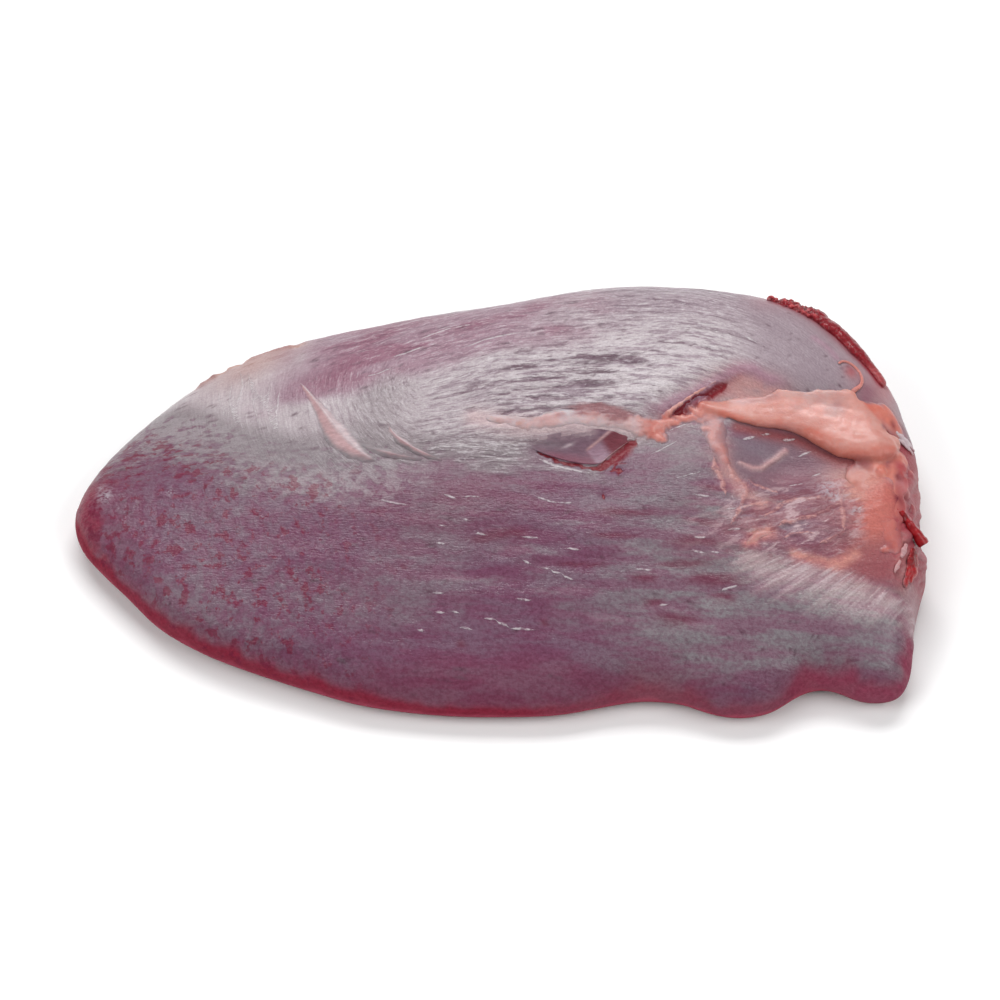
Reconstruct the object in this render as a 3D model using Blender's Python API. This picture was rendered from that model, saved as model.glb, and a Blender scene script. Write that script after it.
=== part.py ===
"""Lamb spleen, raw and whole, lying on its smooth side with the hilum up.

Metres, +Z up. The thick margin is at +Y, the thin margin at -Y, the pointed end at -X and the
blunt hilum end at +X. The origin is on the resting plane, under the middle of the organ.
All the tables of sizes and places are in millimetres.
"""

import math

import bmesh
import bpy
import numpy as np
from mathutils import Vector, noise

MM = 0.001
GAP = 0.32  # between the organ and the tissue that lies on it

# Outline of the organ seen from above, in four stretches that meet at corners. Each stretch
# starts where the one before it ends, anticlockwise from the lower left.
NEAR_MARGIN = (
    (-51.5, -21.6), (-44.5, -26.1), (-37.0, -29.4), (-29.0, -32.4), (-21.5, -34.9), (-14.0, -36.3),
    (-6.5, -37.0), (1.0, -37.1), (8.5, -36.8), (15.5, -35.4), (21.0, -34.4), (27.0, -34.9),
    (31.0, -36.5), (35.5, -37.4), (40.5, -36.5), (45.5, -33.1), (49.5, -32.5), (54.5, -34.7),
    (59.5, -34.1),
)
RIGHT_END = (
    (59.5, -34.1), (61.8, -30.1), (62.6, -23.1), (63.8, -17.6), (65.0, -13.1), (64.4, -7.6),
    (64.4, 0.9), (64.0, 8.9), (62.3, 13.9), (60.0, 19.0), (56.3, 24.0),
)
FAR_MARGIN = (
    (56.3, 24.0), (52.4, 28.6), (47.6, 32.1), (41.9, 34.4), (36.0, 35.9), (28.5, 37.1),
    (20.5, 37.4), (12.5, 36.6), (4.5, 35.2), (-3.0, 33.8), (-11.0, 32.5), (-19.0, 30.9),
    (-26.5, 29.5), (-34.0, 27.5), (-42.0, 24.3), (-46.5, 21.3),
)
LEFT_END = (
    (-46.5, 21.3), (-52.0, 16.7), (-57.0, 11.9), (-61.0, 7.3), (-63.9, 2.5), (-65.3, -2.4),
    (-64.2, -7.1), (-61.3, -11.1), (-57.0, -15.7), (-51.5, -21.6),
)
OUTLINE_STEPS = 12  # points on the smooth outline for each pair of outline points
THIN_Y, THICK_Y = -37.1, 36.9  # where the two long margins lie at the middle of the organ

# The arch of the upper side: x, then the value there.
CREST_Y = ((-65, -1), (-45, 5), (-25, 10), (0, 13), (25, 16), (45, 16), (65, 7))
CREST_Z = ((-65, 8), (-45, 12.5), (-25, 16), (0, 19), (25, 20.5), (45, 20), (65, 15))
THIN_Z = ((-65, 6.5), (-30, 6.5), (0, 6.5), (35, 7), (65, 7.5))
THICK_DROP = ((-65, 1.5), (-30, 4), (25, 5), (65, 4))
CREST_FALL = 1.8  # how flat the arch stays before it falls to the thin margin

# The crease below the thick roll: its line, and how far the roll steps up over it.
FOLD_Y = (
    (-46, 18.9), (-40, 15.9), (-34, 10.9), (-27, 4.4), (-18, 0.9), (0, 1.9), (14, 0.9),
    (20, 2.4), (27, 7.4), (34, 10.4), (50, 8.4), (65, 1.9),
)
FOLD_STEP = ((-46, 0), (-38, 0.6), (-25, 1.2), (0, 1.6), (15, 2.8), (30, 3.0), (50, 2.2), (62, 0.5))
FOLD_WIDTH = 5.0

# The hollow at the hilum: its middle, half sizes and depth.
HOLLOW_MIDDLE, HOLLOW_HALF, HOLLOW_DEPTH = (43.5, -0.8), (8.5, 6.5), 3.6

# Rounding of the rim: the height of its widest line, and how far in the rounding reaches.
RIM_Z_THIN = ((-65, 3.6), (-40, 2.8), (0, 2.6), (65, 3.0))
RIM_Z_THICK = ((-65, 3.6), (-40, 6.0), (0, 8.0), (65, 7.5))
RIM_IN_THIN = ((-65, 5), (65, 5))
RIM_IN_THICK = ((-65, 5), (-40, 8), (0, 10), (65, 8))
UNDER_IN_THIN = ((-65, 5), (65, 5))
UNDER_IN_THICK = ((-65, 5), (0, 9), (65, 8))
BLEND_FROM, BLEND_OVER = -21.1, 40.0  # y where thin-margin values start to turn into thick ones

COLUMNS = (4, 56, 4)  # grid columns over the left rim, the middle and the right rim
ROWS = (5, 30, 6)  # grid rows over the thin rim, the middle and the thick rim
COLUMN_EDGES = (0.045, 0.045)
ROW_EDGES = (0.07, 0.13)

# Plan lines of the tissue that lies on the organ. A lobe has a near and a far edge that share
# their ends. A strand or fold has a middle line.
TONGUE_NEAR = (
    (30.8, 8.8), (33.5, 7.6), (36.5, 6.4), (39.4, 5.9), (42.3, 5.8), (44.6, 5.4), (46.7, 4.5),
    (48.9, 3.0), (51.5, 1.4), (54.7, 0.5), (57.6, 0.6), (60.0, 2.2), (61.6, 4.4),
)
TONGUE_FAR = (
    (30.8, 8.8), (33.2, 9.7), (35.3, 10.2), (37.9, 10.3), (40.3, 10.5), (42.4, 11.5), (45.3, 11.3),
    (47.6, 11.2), (50.0, 11.5), (52.9, 11.2), (54.9, 9.9), (56.1, 8.4), (58.4, 6.7), (61.6, 4.4),
)
HILUM_LEFT = ((50.7, -0.9), (51.6, -3.7), (53.3, -6.0), (54.9, -8.2), (56.4, -10.2), (57.7, -11.9))
HILUM_RIGHT = ((62.0, -0.2), (62.4, -1.8), (61.6, -3.9), (60.0, -6.0), (58.7, -8.2), (58.6, -10.9))
SHOULDER_NEAR = ((54.6, 12.3), (56.6, 9.6), (58.5, 7.8), (60.6, 6.2), (62.4, 4.9))
SHOULDER_FAR = ((54.6, 12.3), (57.0, 14.3), (59.6, 13.0), (61.6, 9.4), (62.4, 4.9))
TAG_NEAR = ((37.0, -14.4), (38.6, -14.6), (40.3, -14.6), (41.6, -14.1), (42.8, -13.3))
TAG_FAR = ((37.0, -14.4), (38.2, -12.7), (40.3, -12.2), (42.0, -12.3), (42.8, -13.3))
FLAP_NEAR = (
    (4.4, 2.2), (6.7, 0.6), (10.0, -0.9), (13.3, -1.7), (15.3, -1.8), (17.6, 0.6), (19.6, 2.6),
)
FLAP_FAR = ((4.4, 2.2), (6.7, 3.3), (9.1, 4.0), (11.7, 4.4), (14.3, 3.9), (17.0, 3.4), (19.6, 2.6))
STRIP_LINE = (
    (-0.9, 6.4), (1.8, 5.7), (4.4, 4.9), (6.8, 5.1), (9.1, 5.6), (11.7, 6.1), (14.3, 5.7),
    (17.6, 5.1), (20.2, 5.0), (22.4, 5.5), (24.2, 6.7), (26.0, 7.9), (28.0, 9.6), (29.8, 10.9),
    (32.2, 12.0), (34.4, 12.7),
)
RING_LINE = (
    (30.9, 7.2), (31.8, 2.9), (32.8, -0.4), (33.8, -3.5), (35.1, -5.5), (36.9, -6.8), (39.9, -8.4),
)
FOLD_LINE = (
    (-34.1, 19.2), (-32.3, 17.0), (-30.2, 14.1), (-28.8, 10.7), (-27.5, 7.5), (-26.0, 4.5),
    (-24.3, 3.2), (-21.4, 1.1), (-18.4, 0.0), (-15.2, -0.7),
)
SMALL_FOLD_LINE = ((-18.4, 9.5), (-17.0, 6.1), (-15.3, 4.3), (-13.1, 2.7), (-10.0, 1.5))
TORN_LINE = (
    (41.2, 29.9), (44.6, 29.5), (47.8, 28.2), (50.2, 26.6), (52.5, 24.3), (54.5, 21.8),
    (56.5, 19.0), (58.2, 16.2),
)
CURL_LINE = (
    (51.9, 18.2), (53.4, 17.3), (54.6, 16.0), (54.9, 14.6), (54.3, 13.4), (52.8, 12.6),
)
STUMP_LINE = ((60.0, -8.8), (61.2, -10.2), (62.3, -11.2))
STUMP_FREE = 1.6  # how far the cut vessel stands out past the last point of its line
CURL_RADIUS, STUMP_RADIUS = 0.32, 0.7
LOBE_EDGE_STEPS = 8  # points on a smooth plan line for each pair of its points

# Tissues: colour and roughness.
TISSUES = {
    "capsule": ((0.28, 0.165, 0.20), 0.35),
    "fat": ((0.65, 0.30, 0.26), 0.40),
    "membrane": ((0.42, 0.32, 0.34), 0.40),
    "vessel": ((0.50, 0.20, 0.18), 0.35),
    "torn_flesh": ((0.30, 0.03, 0.04), 0.30),
}


def smooth(t):
    t = min(1.0, max(0.0, t))
    return t * t * (3.0 - 2.0 * t)


def quarter_round(t):
    """0 at t = 0 and 1 from t = 1, along a quarter of a circle."""
    t = min(1.0, max(0.0, t))
    return math.sqrt(max(0.0, 1.0 - (1.0 - t) ** 2))


def edged(t, first, last):
    """1 in the middle of 0 to 1, rounded down to 0 over the first and last shares."""
    return quarter_round(t / first) * quarter_round((1.0 - t) / last)


def along(table, x):
    """The value at x of a table of (x, value) pairs, on straight lines between them."""
    if x <= table[0][0]:
        return table[0][1]
    for (x0, v0), (x1, v1) in zip(table, table[1:]):
        if x <= x1:
            return v0 + (v1 - v0) * (x - x0) / (x1 - x0)
    return table[-1][1]


def eased(table, x, reach=6.0):
    """The table's value averaged over a reach of x, so that its corners are round."""
    steps = 7
    return sum(along(table, x + reach * (2.0 * k / (steps - 1) - 1.0)) for k in range(steps)) / steps


def spline_point(p0, p1, p2, p3, t):
    """A point of the Catmull-Rom curve between p1 and p2."""
    return tuple(
        0.5 * (2 * b + (c - a) * t + (2 * a - 5 * b + 4 * c - d) * t * t + (3 * b - a - 3 * c + d) * t ** 3)
        for a, b, c, d in zip(p0, p1, p2, p3)
    )


def smooth_outline():
    """The closed outline as dense points, and the index in it at which each stretch starts."""
    corners, points = [], []
    for stretch in (NEAR_MARGIN, RIGHT_END, FAR_MARGIN, LEFT_END):
        corners.append(len(points) * OUTLINE_STEPS)
        points.extend(stretch[:-1])
    count = len(points)
    dense = [
        spline_point(points[i - 1], points[i], points[(i + 1) % count], points[(i + 2) % count], k / OUTLINE_STEPS)
        for i in range(count)
        for k in range(OUTLINE_STEPS)
    ]
    return np.array(dense), corners


def smooth_line(points):
    """Dense points on the smooth open curve through the given ones."""
    held = [points[0], *points, points[-1]]
    dense = [
        spline_point(*held[i:i + 4], k / LOBE_EDGE_STEPS)
        for i in range(len(points) - 1)
        for k in range(LOBE_EDGE_STEPS)
    ]
    return np.array([*dense, points[-1]])


def smooth_edge(points):
    """The smooth curve through the points, as a function of the share of its length."""
    dense = smooth_line(points)
    return lambda share: at_share(dense, share)


OUTLINE, CORNERS = smooth_outline()


def stretch_points(index, backwards=False):
    """The dense points of one stretch of the outline, corner to corner."""
    loop = np.vstack([OUTLINE, OUTLINE[:1]])
    end = CORNERS[index + 1] if index < 3 else len(OUTLINE)
    points = loop[CORNERS[index]:end + 1]
    return points[::-1] if backwards else points


def at_share(points, share):
    """The point at that share of a polyline's length."""
    steps = np.linalg.norm(np.diff(points, axis=0), axis=1)
    length = np.concatenate([[0.0], np.cumsum(steps)])
    target = share * length[-1]
    return np.array([np.interp(target, length, points[:, 0]), np.interp(target, length, points[:, 1])])


NEAR, RIGHT = stretch_points(0), stretch_points(1)
FAR, LEFT = stretch_points(2, backwards=True), stretch_points(3, backwards=True)


def plan_point(a, b):
    """The plan position at share a along the organ and b across it, blended from the four margins."""
    near, far = at_share(NEAR, a), at_share(FAR, a)
    left, right = at_share(LEFT, b), at_share(RIGHT, b)
    straight = (
        (1 - a) * (1 - b) * NEAR[0] + a * (1 - b) * NEAR[-1] + (1 - a) * b * FAR[0] + a * b * FAR[-1]
    )
    return (1 - b) * near + b * far + (1 - a) * left + a * right - straight


def rim_distance(x, y):
    """How far a plan position lies inside the outline."""
    ahead = np.roll(OUTLINE, -1, axis=0)
    side = ahead - OUTLINE
    from_start = np.array([x, y]) - OUTLINE
    share = np.clip((from_start * side).sum(1) / (side * side).sum(1), 0, 1)
    return float(np.linalg.norm(from_start - share[:, None] * side, axis=1).min())


def across(thin_table, thick_table, x, y):
    """A value that passes from the thin margin's table to the thick margin's."""
    t = smooth((y - BLEND_FROM) / BLEND_OVER)
    return (1 - t) * eased(thin_table, x) + t * eased(thick_table, x)


def arch(x, y):
    """The height of the smooth arch from the thin margin over the crest to the thick margin."""
    crest_y, crest_z, thin_z = eased(CREST_Y, x), eased(CREST_Z, x), eased(THIN_Z, x)
    if y <= crest_y:
        t = min(1.0, (crest_y - y) / (crest_y - THIN_Y))
        return thin_z + (crest_z - thin_z) * (1 - t ** CREST_FALL)
    t = (y - crest_y) / (THICK_Y - crest_y)
    return crest_z - eased(THICK_DROP, x) * t * t


def fold(x, y):
    """The step up over the crease, which falls away again towards the thin margin."""
    step, above = eased(FOLD_STEP, x), (y - eased(FOLD_Y, x, 3.0)) / FOLD_WIDTH
    if above >= 0:
        return 0.35 * step * smooth(above) - 0.65 * step * (1 - smooth(above))
    return -0.65 * step * math.exp(-(0.6 * above) ** 2)


def crown(x, y):
    """The height of the upper side before its rim is rounded."""
    away_x = (x - HOLLOW_MIDDLE[0]) / HOLLOW_HALF[0]
    away_y = (y - HOLLOW_MIDDLE[1]) / HOLLOW_HALF[1]
    return arch(x, y) + fold(x, y) - HOLLOW_DEPTH * math.exp(-away_x * away_x - away_y * away_y)


def top_z(x, y):
    rim_z = across(RIM_Z_THIN, RIM_Z_THICK, x, y)
    reach = across(RIM_IN_THIN, RIM_IN_THICK, x, y)
    return rim_z + (crown(x, y) - rim_z) * quarter_round(rim_distance(x, y) / reach)


def under_z(x, y):
    rim_z = across(RIM_Z_THIN, RIM_Z_THICK, x, y)
    reach = across(UNDER_IN_THIN, UNDER_IN_THICK, x, y)
    return rim_z * (1 - quarter_round(rim_distance(x, y) / reach))


def lifted(x, y, lift):
    """The point that far out from the organ's upper side, square to it."""
    reach = 0.3
    slope_x = (top_z(x + reach, y) - top_z(x - reach, y)) / (2 * reach)
    slope_y = (top_z(x, y + reach) - top_z(x, y - reach)) / (2 * reach)
    return Vector((x, y, top_z(x, y))) + Vector((-slope_x, -slope_y, 1.0)).normalized() * float(lift)


def graded(counts, edges):
    """Shares from 0 to 1, close together over the rounded edges and even between them."""
    low = [edges[0] * (1 - math.cos(0.5 * math.pi * k / counts[0])) for k in range(counts[0])]
    high = [1 - edges[1] * (1 - math.cos(0.5 * math.pi * k / counts[2])) for k in range(counts[2])]
    return low + list(np.linspace(edges[0], 1 - edges[1], counts[1] + 1)) + high[::-1]


def sheet(bm, columns, rows, place):
    """A grid of triangles with a vertex at place(a, b) for each share a in columns and b in rows.

    A triangle that cuts off a corner is left out, because two sheets that meet at their edges
    would share it.
    """
    made = bmesh.ops.create_grid(bm, x_segments=len(columns) - 1, y_segments=len(rows) - 1, size=0.5)
    for vert in made["verts"]:
        column = round((vert.co.x + 0.5) * (len(columns) - 1))
        row = round((vert.co.y + 0.5) * (len(rows) - 1))
        vert.co = place(columns[column], rows[row]) * MM
    quads = [face for face in bm.faces if len(face.verts) == 4]
    bmesh.ops.triangulate(bm, faces=quads, quad_method="FIXED")
    ears = [face for face in bm.faces if sum(edge.is_boundary for edge in face.edges) == 2]
    bmesh.ops.delete(bm, geom=ears, context="FACES")


def finish_object(name, bm, tissue):
    bmesh.ops.recalc_face_normals(bm, faces=bm.faces)
    mesh = bpy.data.meshes.new(name)
    bm.to_mesh(mesh)
    bm.free()
    mesh.shade_smooth()
    return in_scene(name, mesh, tissue)


def in_scene(name, data, tissue):
    colour, roughness = TISSUES[tissue]
    made = bpy.data.materials.get(tissue) or bpy.data.materials.new(tissue)
    made.use_nodes = True
    shader = made.node_tree.nodes["Principled BSDF"]
    shader.inputs["Base Color"].default_value = (*colour, 1.0)
    shader.inputs["Roughness"].default_value = roughness
    data.materials.append(made)
    placed = bpy.data.objects.new(name, data)
    bpy.context.scene.collection.objects.link(placed)
    return placed


def spleen_body():
    """The organ: an arched upper side and a flat underside that meet at the rounded rim."""
    def upper(a, b):
        x, y = plan_point(a, b)
        return Vector((x, y, top_z(x, y)))

    def under(a, b):
        x, y = plan_point(a, b)
        return Vector((x, y, under_z(x, y)))

    columns, rows = graded(COLUMNS, COLUMN_EDGES), graded(ROWS, ROW_EDGES)
    bm = bmesh.new()
    sheet(bm, columns, rows, upper)
    sheet(bm, columns, rows, under)
    bmesh.ops.remove_doubles(bm, verts=bm.verts, dist=0.02 * MM)
    resting = {face for face in bm.faces if all(vert.co.z < 1e-7 for vert in face.verts)}
    inner = [edge for edge in bm.edges if len(edge.link_faces) == 2 and resting.issuperset(edge.link_faces)]
    bmesh.ops.dissolve_edges(bm, edges=inner, use_verts=True)
    return finish_object("spleen_body", bm, "capsule")


def lobe(name, near, far, columns, rows, thickness, tissue, lump=0.0, lump_size=3.0):
    """Tissue that lies on the organ between plan lines near(a) and far(a), closed at its edges.

    It is thickness(a, b) deep, and lump is the share by which its depth is uneven.
    """
    def surface(share):
        def place(a, b):
            x, y = (1 - b) * near(a) + b * far(a)
            uneven = 1.0 + lump * noise.noise(Vector((x, y, 0.0)) / lump_size)
            return lifted(x, y, GAP + share * uneven * thickness(a, b))
        return place

    bm = bmesh.new()
    sheet(bm, columns, rows, surface(0.0))
    sheet(bm, columns, rows, surface(1.0))
    bmesh.ops.remove_doubles(bm, verts=bm.verts, dist=0.02 * MM)
    return finish_object(name, bm, tissue)


def fat_tongue():
    """The thick tongue of fat over the hollow: a heavy near edge, thinning away at the far one."""
    depth = ((0, 0.5), (0.2, 1.3), (0.45, 2.1), (0.75, 3.0), (0.9, 2.6), (1, 1.4))
    return lobe(
        "fat_tongue", smooth_edge(TONGUE_NEAR), smooth_edge(TONGUE_FAR),
        graded((3, 14, 3), (0.1, 0.1)), graded((3, 4, 3), (0.25, 0.35)),
        lambda a, b: eased(depth, a, 0.08) * edged(a, 0.15, 0.12) * edged(b, 0.28, 1.1),
        "fat", 0.2, 5.0,
    )


def hilum_fat():
    """The lump of fat below the tongue, from which the cut vessel comes."""
    depth = ((0, 0.8), (0.35, 1.9), (0.7, 1.6), (1, 0.6))
    return lobe(
        "hilum_fat", smooth_edge(HILUM_LEFT), smooth_edge(HILUM_RIGHT),
        graded((3, 9, 3), (0.12, 0.15)), graded((3, 4, 3), (0.25, 0.25)),
        lambda a, b: along(depth, a) * edged(a, 0.2, 0.3) * edged(b, 0.5, 0.4),
        "fat", 0.6, 3.0,
    )


def shoulder_fat():
    """The thin patch of fat behind the tongue's tip."""
    return lobe(
        "shoulder_fat", smooth_edge(SHOULDER_NEAR), smooth_edge(SHOULDER_FAR),
        graded((2, 7, 2), (0.15, 0.15)), graded((2, 3, 2), (0.25, 0.25)),
        lambda a, b: 1.1 * edged(a, 0.35, 0.35) * edged(b, 0.4, 0.4),
        "fat", 0.5, 2.5,
    )


def fat_tag():
    """The small tag of fat at the foot of the hollow."""
    return lobe(
        "fat_tag", smooth_edge(TAG_NEAR), smooth_edge(TAG_FAR),
        graded((2, 5, 2), (0.2, 0.2)), graded((2, 2, 2), (0.3, 0.3)),
        lambda a, b: 1.1 * edged(a, 0.35, 0.35) * edged(b, 0.5, 0.5),
        "fat", 0.4, 2.0,
    )


def capsule_flap():
    """The lifted flap of the capsule under the strip of fat, raised along its slit edge."""
    return lobe(
        "capsule_flap", smooth_edge(FLAP_NEAR), smooth_edge(FLAP_FAR),
        graded((2, 10, 2), (0.1, 0.1)), graded((2, 3, 2), (0.2, 0.3)),
        lambda a, b: 0.75 * edged(a, 0.25, 0.2) * edged(b, 0.25, 1.2),
        "membrane", 0.3, 3.0,
    )


def beside(line, offset):
    """A smooth line moved to its left by offset(a), as a function of the share a."""
    points = smooth_line(line)

    def place(a):
        ahead = at_share(points, min(1.0, a + 0.02)) - at_share(points, max(0.0, a - 0.02))
        leftward = np.array([-ahead[1], ahead[0]]) / np.linalg.norm(ahead)
        return at_share(points, a) + offset(a) * leftward
    return place


def strand(name, line, half_width, depth, columns, tissue, lump=0.3, lump_size=2.5):
    """A long ridge of tissue along a middle line, with tables of its half width and its depth."""
    return lobe(
        name, beside(line, lambda a: -along(half_width, a)), beside(line, lambda a: along(half_width, a)),
        list(np.linspace(0, 1, columns + 1)), graded((2, 1, 2), (0.35, 0.35)),
        lambda a, b: along(depth, a) * edged(a, 0.06, 0.06) * edged(b, 0.5, 0.5),
        tissue, lump, lump_size,
    )


def tube(name, places, radius, tissue):
    """A round vessel through places in millimetres."""
    curve = bpy.data.curves.new(name, "CURVE")
    curve.dimensions = "3D"
    curve.bevel_depth = radius * MM
    curve.bevel_resolution = 2
    curve.use_fill_caps = True
    spline = curve.splines.new("POLY")
    spline.points.add(len(places) - 1)
    for point, place in zip(spline.points, places):
        point.co = (*(place * MM), 1.0)
    return in_scene(name, curve, tissue)


def vessel_curl():
    """The thin vessel that curls over the roll."""
    line = smooth_line(CURL_LINE)[::3]
    return tube("vessel_curl", [lifted(x, y, GAP + CURL_RADIUS) for x, y in line], CURL_RADIUS, "vessel")


def vessel_stump():
    """The cut vessel that stands out of the hilum at the blunt end."""
    held = [lifted(x, y, GAP + STUMP_RADIUS + 0.1) for x, y in STUMP_LINE]
    tip = held[-1] + STUMP_FREE * (held[-1] - held[0]).normalized()
    return tube("vessel_stump", [*held, tip], STUMP_RADIUS, "vessel")


def build():
    for old in list(bpy.data.objects):
        bpy.data.objects.remove(old)
    spleen_body()
    fat_tongue()
    hilum_fat()
    shoulder_fat()
    fat_tag()
    capsule_flap()
    strand("fat_strip", STRIP_LINE, ((0, 0.3), (0.15, 0.9), (0.45, 1.1), (0.6, 1.2), (0.8, 0.6), (1, 0.3)),
           ((0, 0.4), (0.3, 0.9), (0.6, 1.1), (1, 0.4)), 38, "fat")
    strand("hilum_strand", RING_LINE, ((0, 1.5), (0.35, 1.3), (0.6, 0.8), (1, 0.3)),
           ((0, 0.6), (0.5, 0.9), (1, 0.4)), 16, "fat")
    strand("membrane_fold", FOLD_LINE, ((0, 0.25), (0.4, 0.6), (0.7, 0.6), (1, 0.25)),
           ((0, 0.3), (0.4, 0.7), (1, 0.3)), 26, "membrane")
    strand("membrane_fold_small", SMALL_FOLD_LINE, ((0, 0.25), (0.5, 0.5), (1, 0.25)),
           ((0, 0.3), (0.5, 0.5), (1, 0.3)), 14, "membrane")
    strand("torn_rim", TORN_LINE, ((0, 0.4), (0.15, 1.3), (0.6, 1.7), (1, 0.4)),
           ((0, 0.6), (0.2, 1.3), (0.7, 1.2), (1, 0.5)), 30, "torn_flesh", 0.7, 1.6)
    vessel_curl()
    vessel_stump()


build()
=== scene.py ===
"""Looks of the raw lamb spleen: the organ in its capsule, the fat and torn tissue at its hilum.

Metres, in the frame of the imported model. Places in plan and sizes are given in millimetres and
turned into metres where a mesh is made.
"""

import math

import bmesh
import bpy
import numpy as np
from mathutils import Matrix, Vector, noise
from mathutils.bvhtree import BVHTree


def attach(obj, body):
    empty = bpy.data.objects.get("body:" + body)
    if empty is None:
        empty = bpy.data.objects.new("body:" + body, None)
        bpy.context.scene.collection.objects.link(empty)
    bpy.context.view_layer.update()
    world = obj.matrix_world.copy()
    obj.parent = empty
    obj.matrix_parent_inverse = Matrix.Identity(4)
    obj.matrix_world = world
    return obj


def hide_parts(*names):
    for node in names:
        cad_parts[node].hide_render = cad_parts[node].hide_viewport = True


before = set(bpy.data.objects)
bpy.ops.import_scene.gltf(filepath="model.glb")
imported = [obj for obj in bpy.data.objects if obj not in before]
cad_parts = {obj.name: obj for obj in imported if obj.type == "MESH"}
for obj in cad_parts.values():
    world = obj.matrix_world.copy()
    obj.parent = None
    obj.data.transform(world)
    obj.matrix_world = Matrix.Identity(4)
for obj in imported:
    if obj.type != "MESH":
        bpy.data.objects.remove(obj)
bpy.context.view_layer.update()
MM = 0.001

# The organ: one solid body of dark purple pulp in a thin, wet, greyish capsule. Its form is the
# imported body's, smoothed, with the fine folds, furrows and ridges of the capsule raised on it.
# Colour lies in broad areas: pale on the roll, with painted sheen, purple over the thin side, red at the margins.


def to_object(name, bm, finish=None):
    """Puts a finished bmesh in the scene as a smooth-shaded piece."""
    mesh = bpy.data.meshes.new(name)
    bm.to_mesh(mesh)
    bm.free()
    mesh.shade_smooth()
    if finish:
        mesh.materials.append(finish)
    piece = bpy.data.objects.new(name, mesh)
    bpy.context.scene.collection.objects.link(piece)
    return piece


def harden(piece):
    """Turns a piece's modifiers into plain mesh."""
    bpy.context.view_layer.update()
    made = bpy.data.meshes.new_from_object(piece.evaluated_get(bpy.context.evaluated_depsgraph_get()))
    piece.modifiers.clear()
    piece.data = made
    made.name = piece.name


def numbers(piece, what="co"):
    """The places or normals of a piece's vertices as rows."""
    flat = np.empty(len(piece.data.vertices) * 3)
    piece.data.vertices.foreach_get(what, flat)
    return flat.reshape(-1, 3)


def reshape(piece, places):
    """Moves a piece's vertices to new places, in metres."""
    piece.data.vertices.foreach_set("co", places.ravel())
    piece.data.update()


SAME_PLACE, SLIVER = 0.001 * MM, 0.15 * MM
organ_bm = bmesh.new()
organ_bm.from_mesh(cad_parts["spleen_body"].data)
bmesh.ops.remove_doubles(organ_bm, verts=organ_bm.verts, dist=SAME_PLACE)
resting = [f for f in organ_bm.faces if all(v.co.z < SAME_PLACE for v in f.verts)]
bmesh.ops.dissolve_faces(organ_bm, faces=resting, use_verts=True)
three_sided = [f for f in organ_bm.faces if len(f.verts) == 3]
bmesh.ops.join_triangles(
    organ_bm, faces=three_sided, angle_face_threshold=math.radians(40), angle_shape_threshold=math.radians(60)
)
organ = to_object("spleen_organ", organ_bm)
rounding = organ.modifiers.new("rounding", "SUBSURF")
rounding.levels = rounding.render_levels = 2
harden(organ)

# Finer mesh where the roll is furrowed and where the tissue of the hilum is drawn into cords.
FURROWED = ((-6.0, 32.0), (4.0, 20.0))
CORDED = ((29.0, 65.5), (-22.0, 8.0))
organ_bm = bmesh.new()
organ_bm.from_mesh(organ.data)
at_rest = [v for v in organ_bm.verts if v.co.z < 0.01 * MM]
bmesh.ops.remove_doubles(organ_bm, verts=at_rest, dist=SLIVER)
fine = set()
for (x_low, x_high), (y_low, y_high) in (FURROWED, CORDED):
    for face in organ_bm.faces:
        middle = face.calc_center_median() / MM
        if x_low < middle.x < x_high and y_low < middle.y < y_high and face.normal.z > 0.1:
            fine.update(face.edges)
bmesh.ops.subdivide_edges(organ_bm, edges=list(fine), cuts=1, use_grid_fill=True)
organ_bm.to_mesh(organ.data)
organ_bm.free()
organ.data.shade_smooth()
place, facing = numbers(organ) / MM, numbers(organ, "normal")
X, Y, Z = place.T


def ease(value, low, high):
    """0 at low and 1 at high, rounded at both ends. low may be the larger of the two."""
    t = np.clip((value - low) / (high - low), 0.0, 1.0)
    return t * t * (3.0 - 2.0 * t)


def height_of(x, line):
    """The y at each x of a line that runs from left to right."""
    return np.interp(x, [p[0] for p in line], [p[1] for p in line])


TOP = ease(facing[:, 2], -0.1, 0.25)
# The lower edge of the pale area, in plan.
PALE_EDGE = (
    (-65, 9), (-57, 10), (-50, 9), (-45, 7), (-40, 4), (-30, 0), (-20, -0.5), (-10, -1), (0, -1), (5, 0),
    (10, -1), (14, -1.8), (20, 2), (27, 8), (34, 12), (45, 11.5), (65, 10),
)
UNDER_PALE = Y - height_of(X, PALE_EDGE)

# Which way the fibres of the capsule run: S along them and T across them.
bend = 0.017 * np.clip(X - 25, 0, None) ** 2 - 0.25 * np.clip(X, None, 0)
roll_share = ease(Y, -2, 14)
T = Y + bend * roll_share + 0.06 * X * (1 - roll_share)
S = X.copy()
# Left of the roll they run in arcs instead, round a point beside the folds of membrane.
ARC_MIDDLE = (-9.0, 14.0)
arc_x, arc_y = X - ARC_MIDDLE[0], Y - ARC_MIDDLE[1]
arc_r = np.hypot(arc_x, arc_y)
arc_s = 16.0 * np.arctan2(arc_y, -arc_x)
arcs = ease(X, -9, -16) * ease(UNDER_PALE, -3, 1) * ease(Y, 21, 16)
FAN_MIDDLE = (76.0, -0.5)
fan_x, fan_y = X - FAN_MIDDLE[0], Y - FAN_MIDDLE[1]
fan_r, fan_a = np.hypot(fan_x, fan_y), np.degrees(np.arctan2(fan_y, fan_x))


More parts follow.
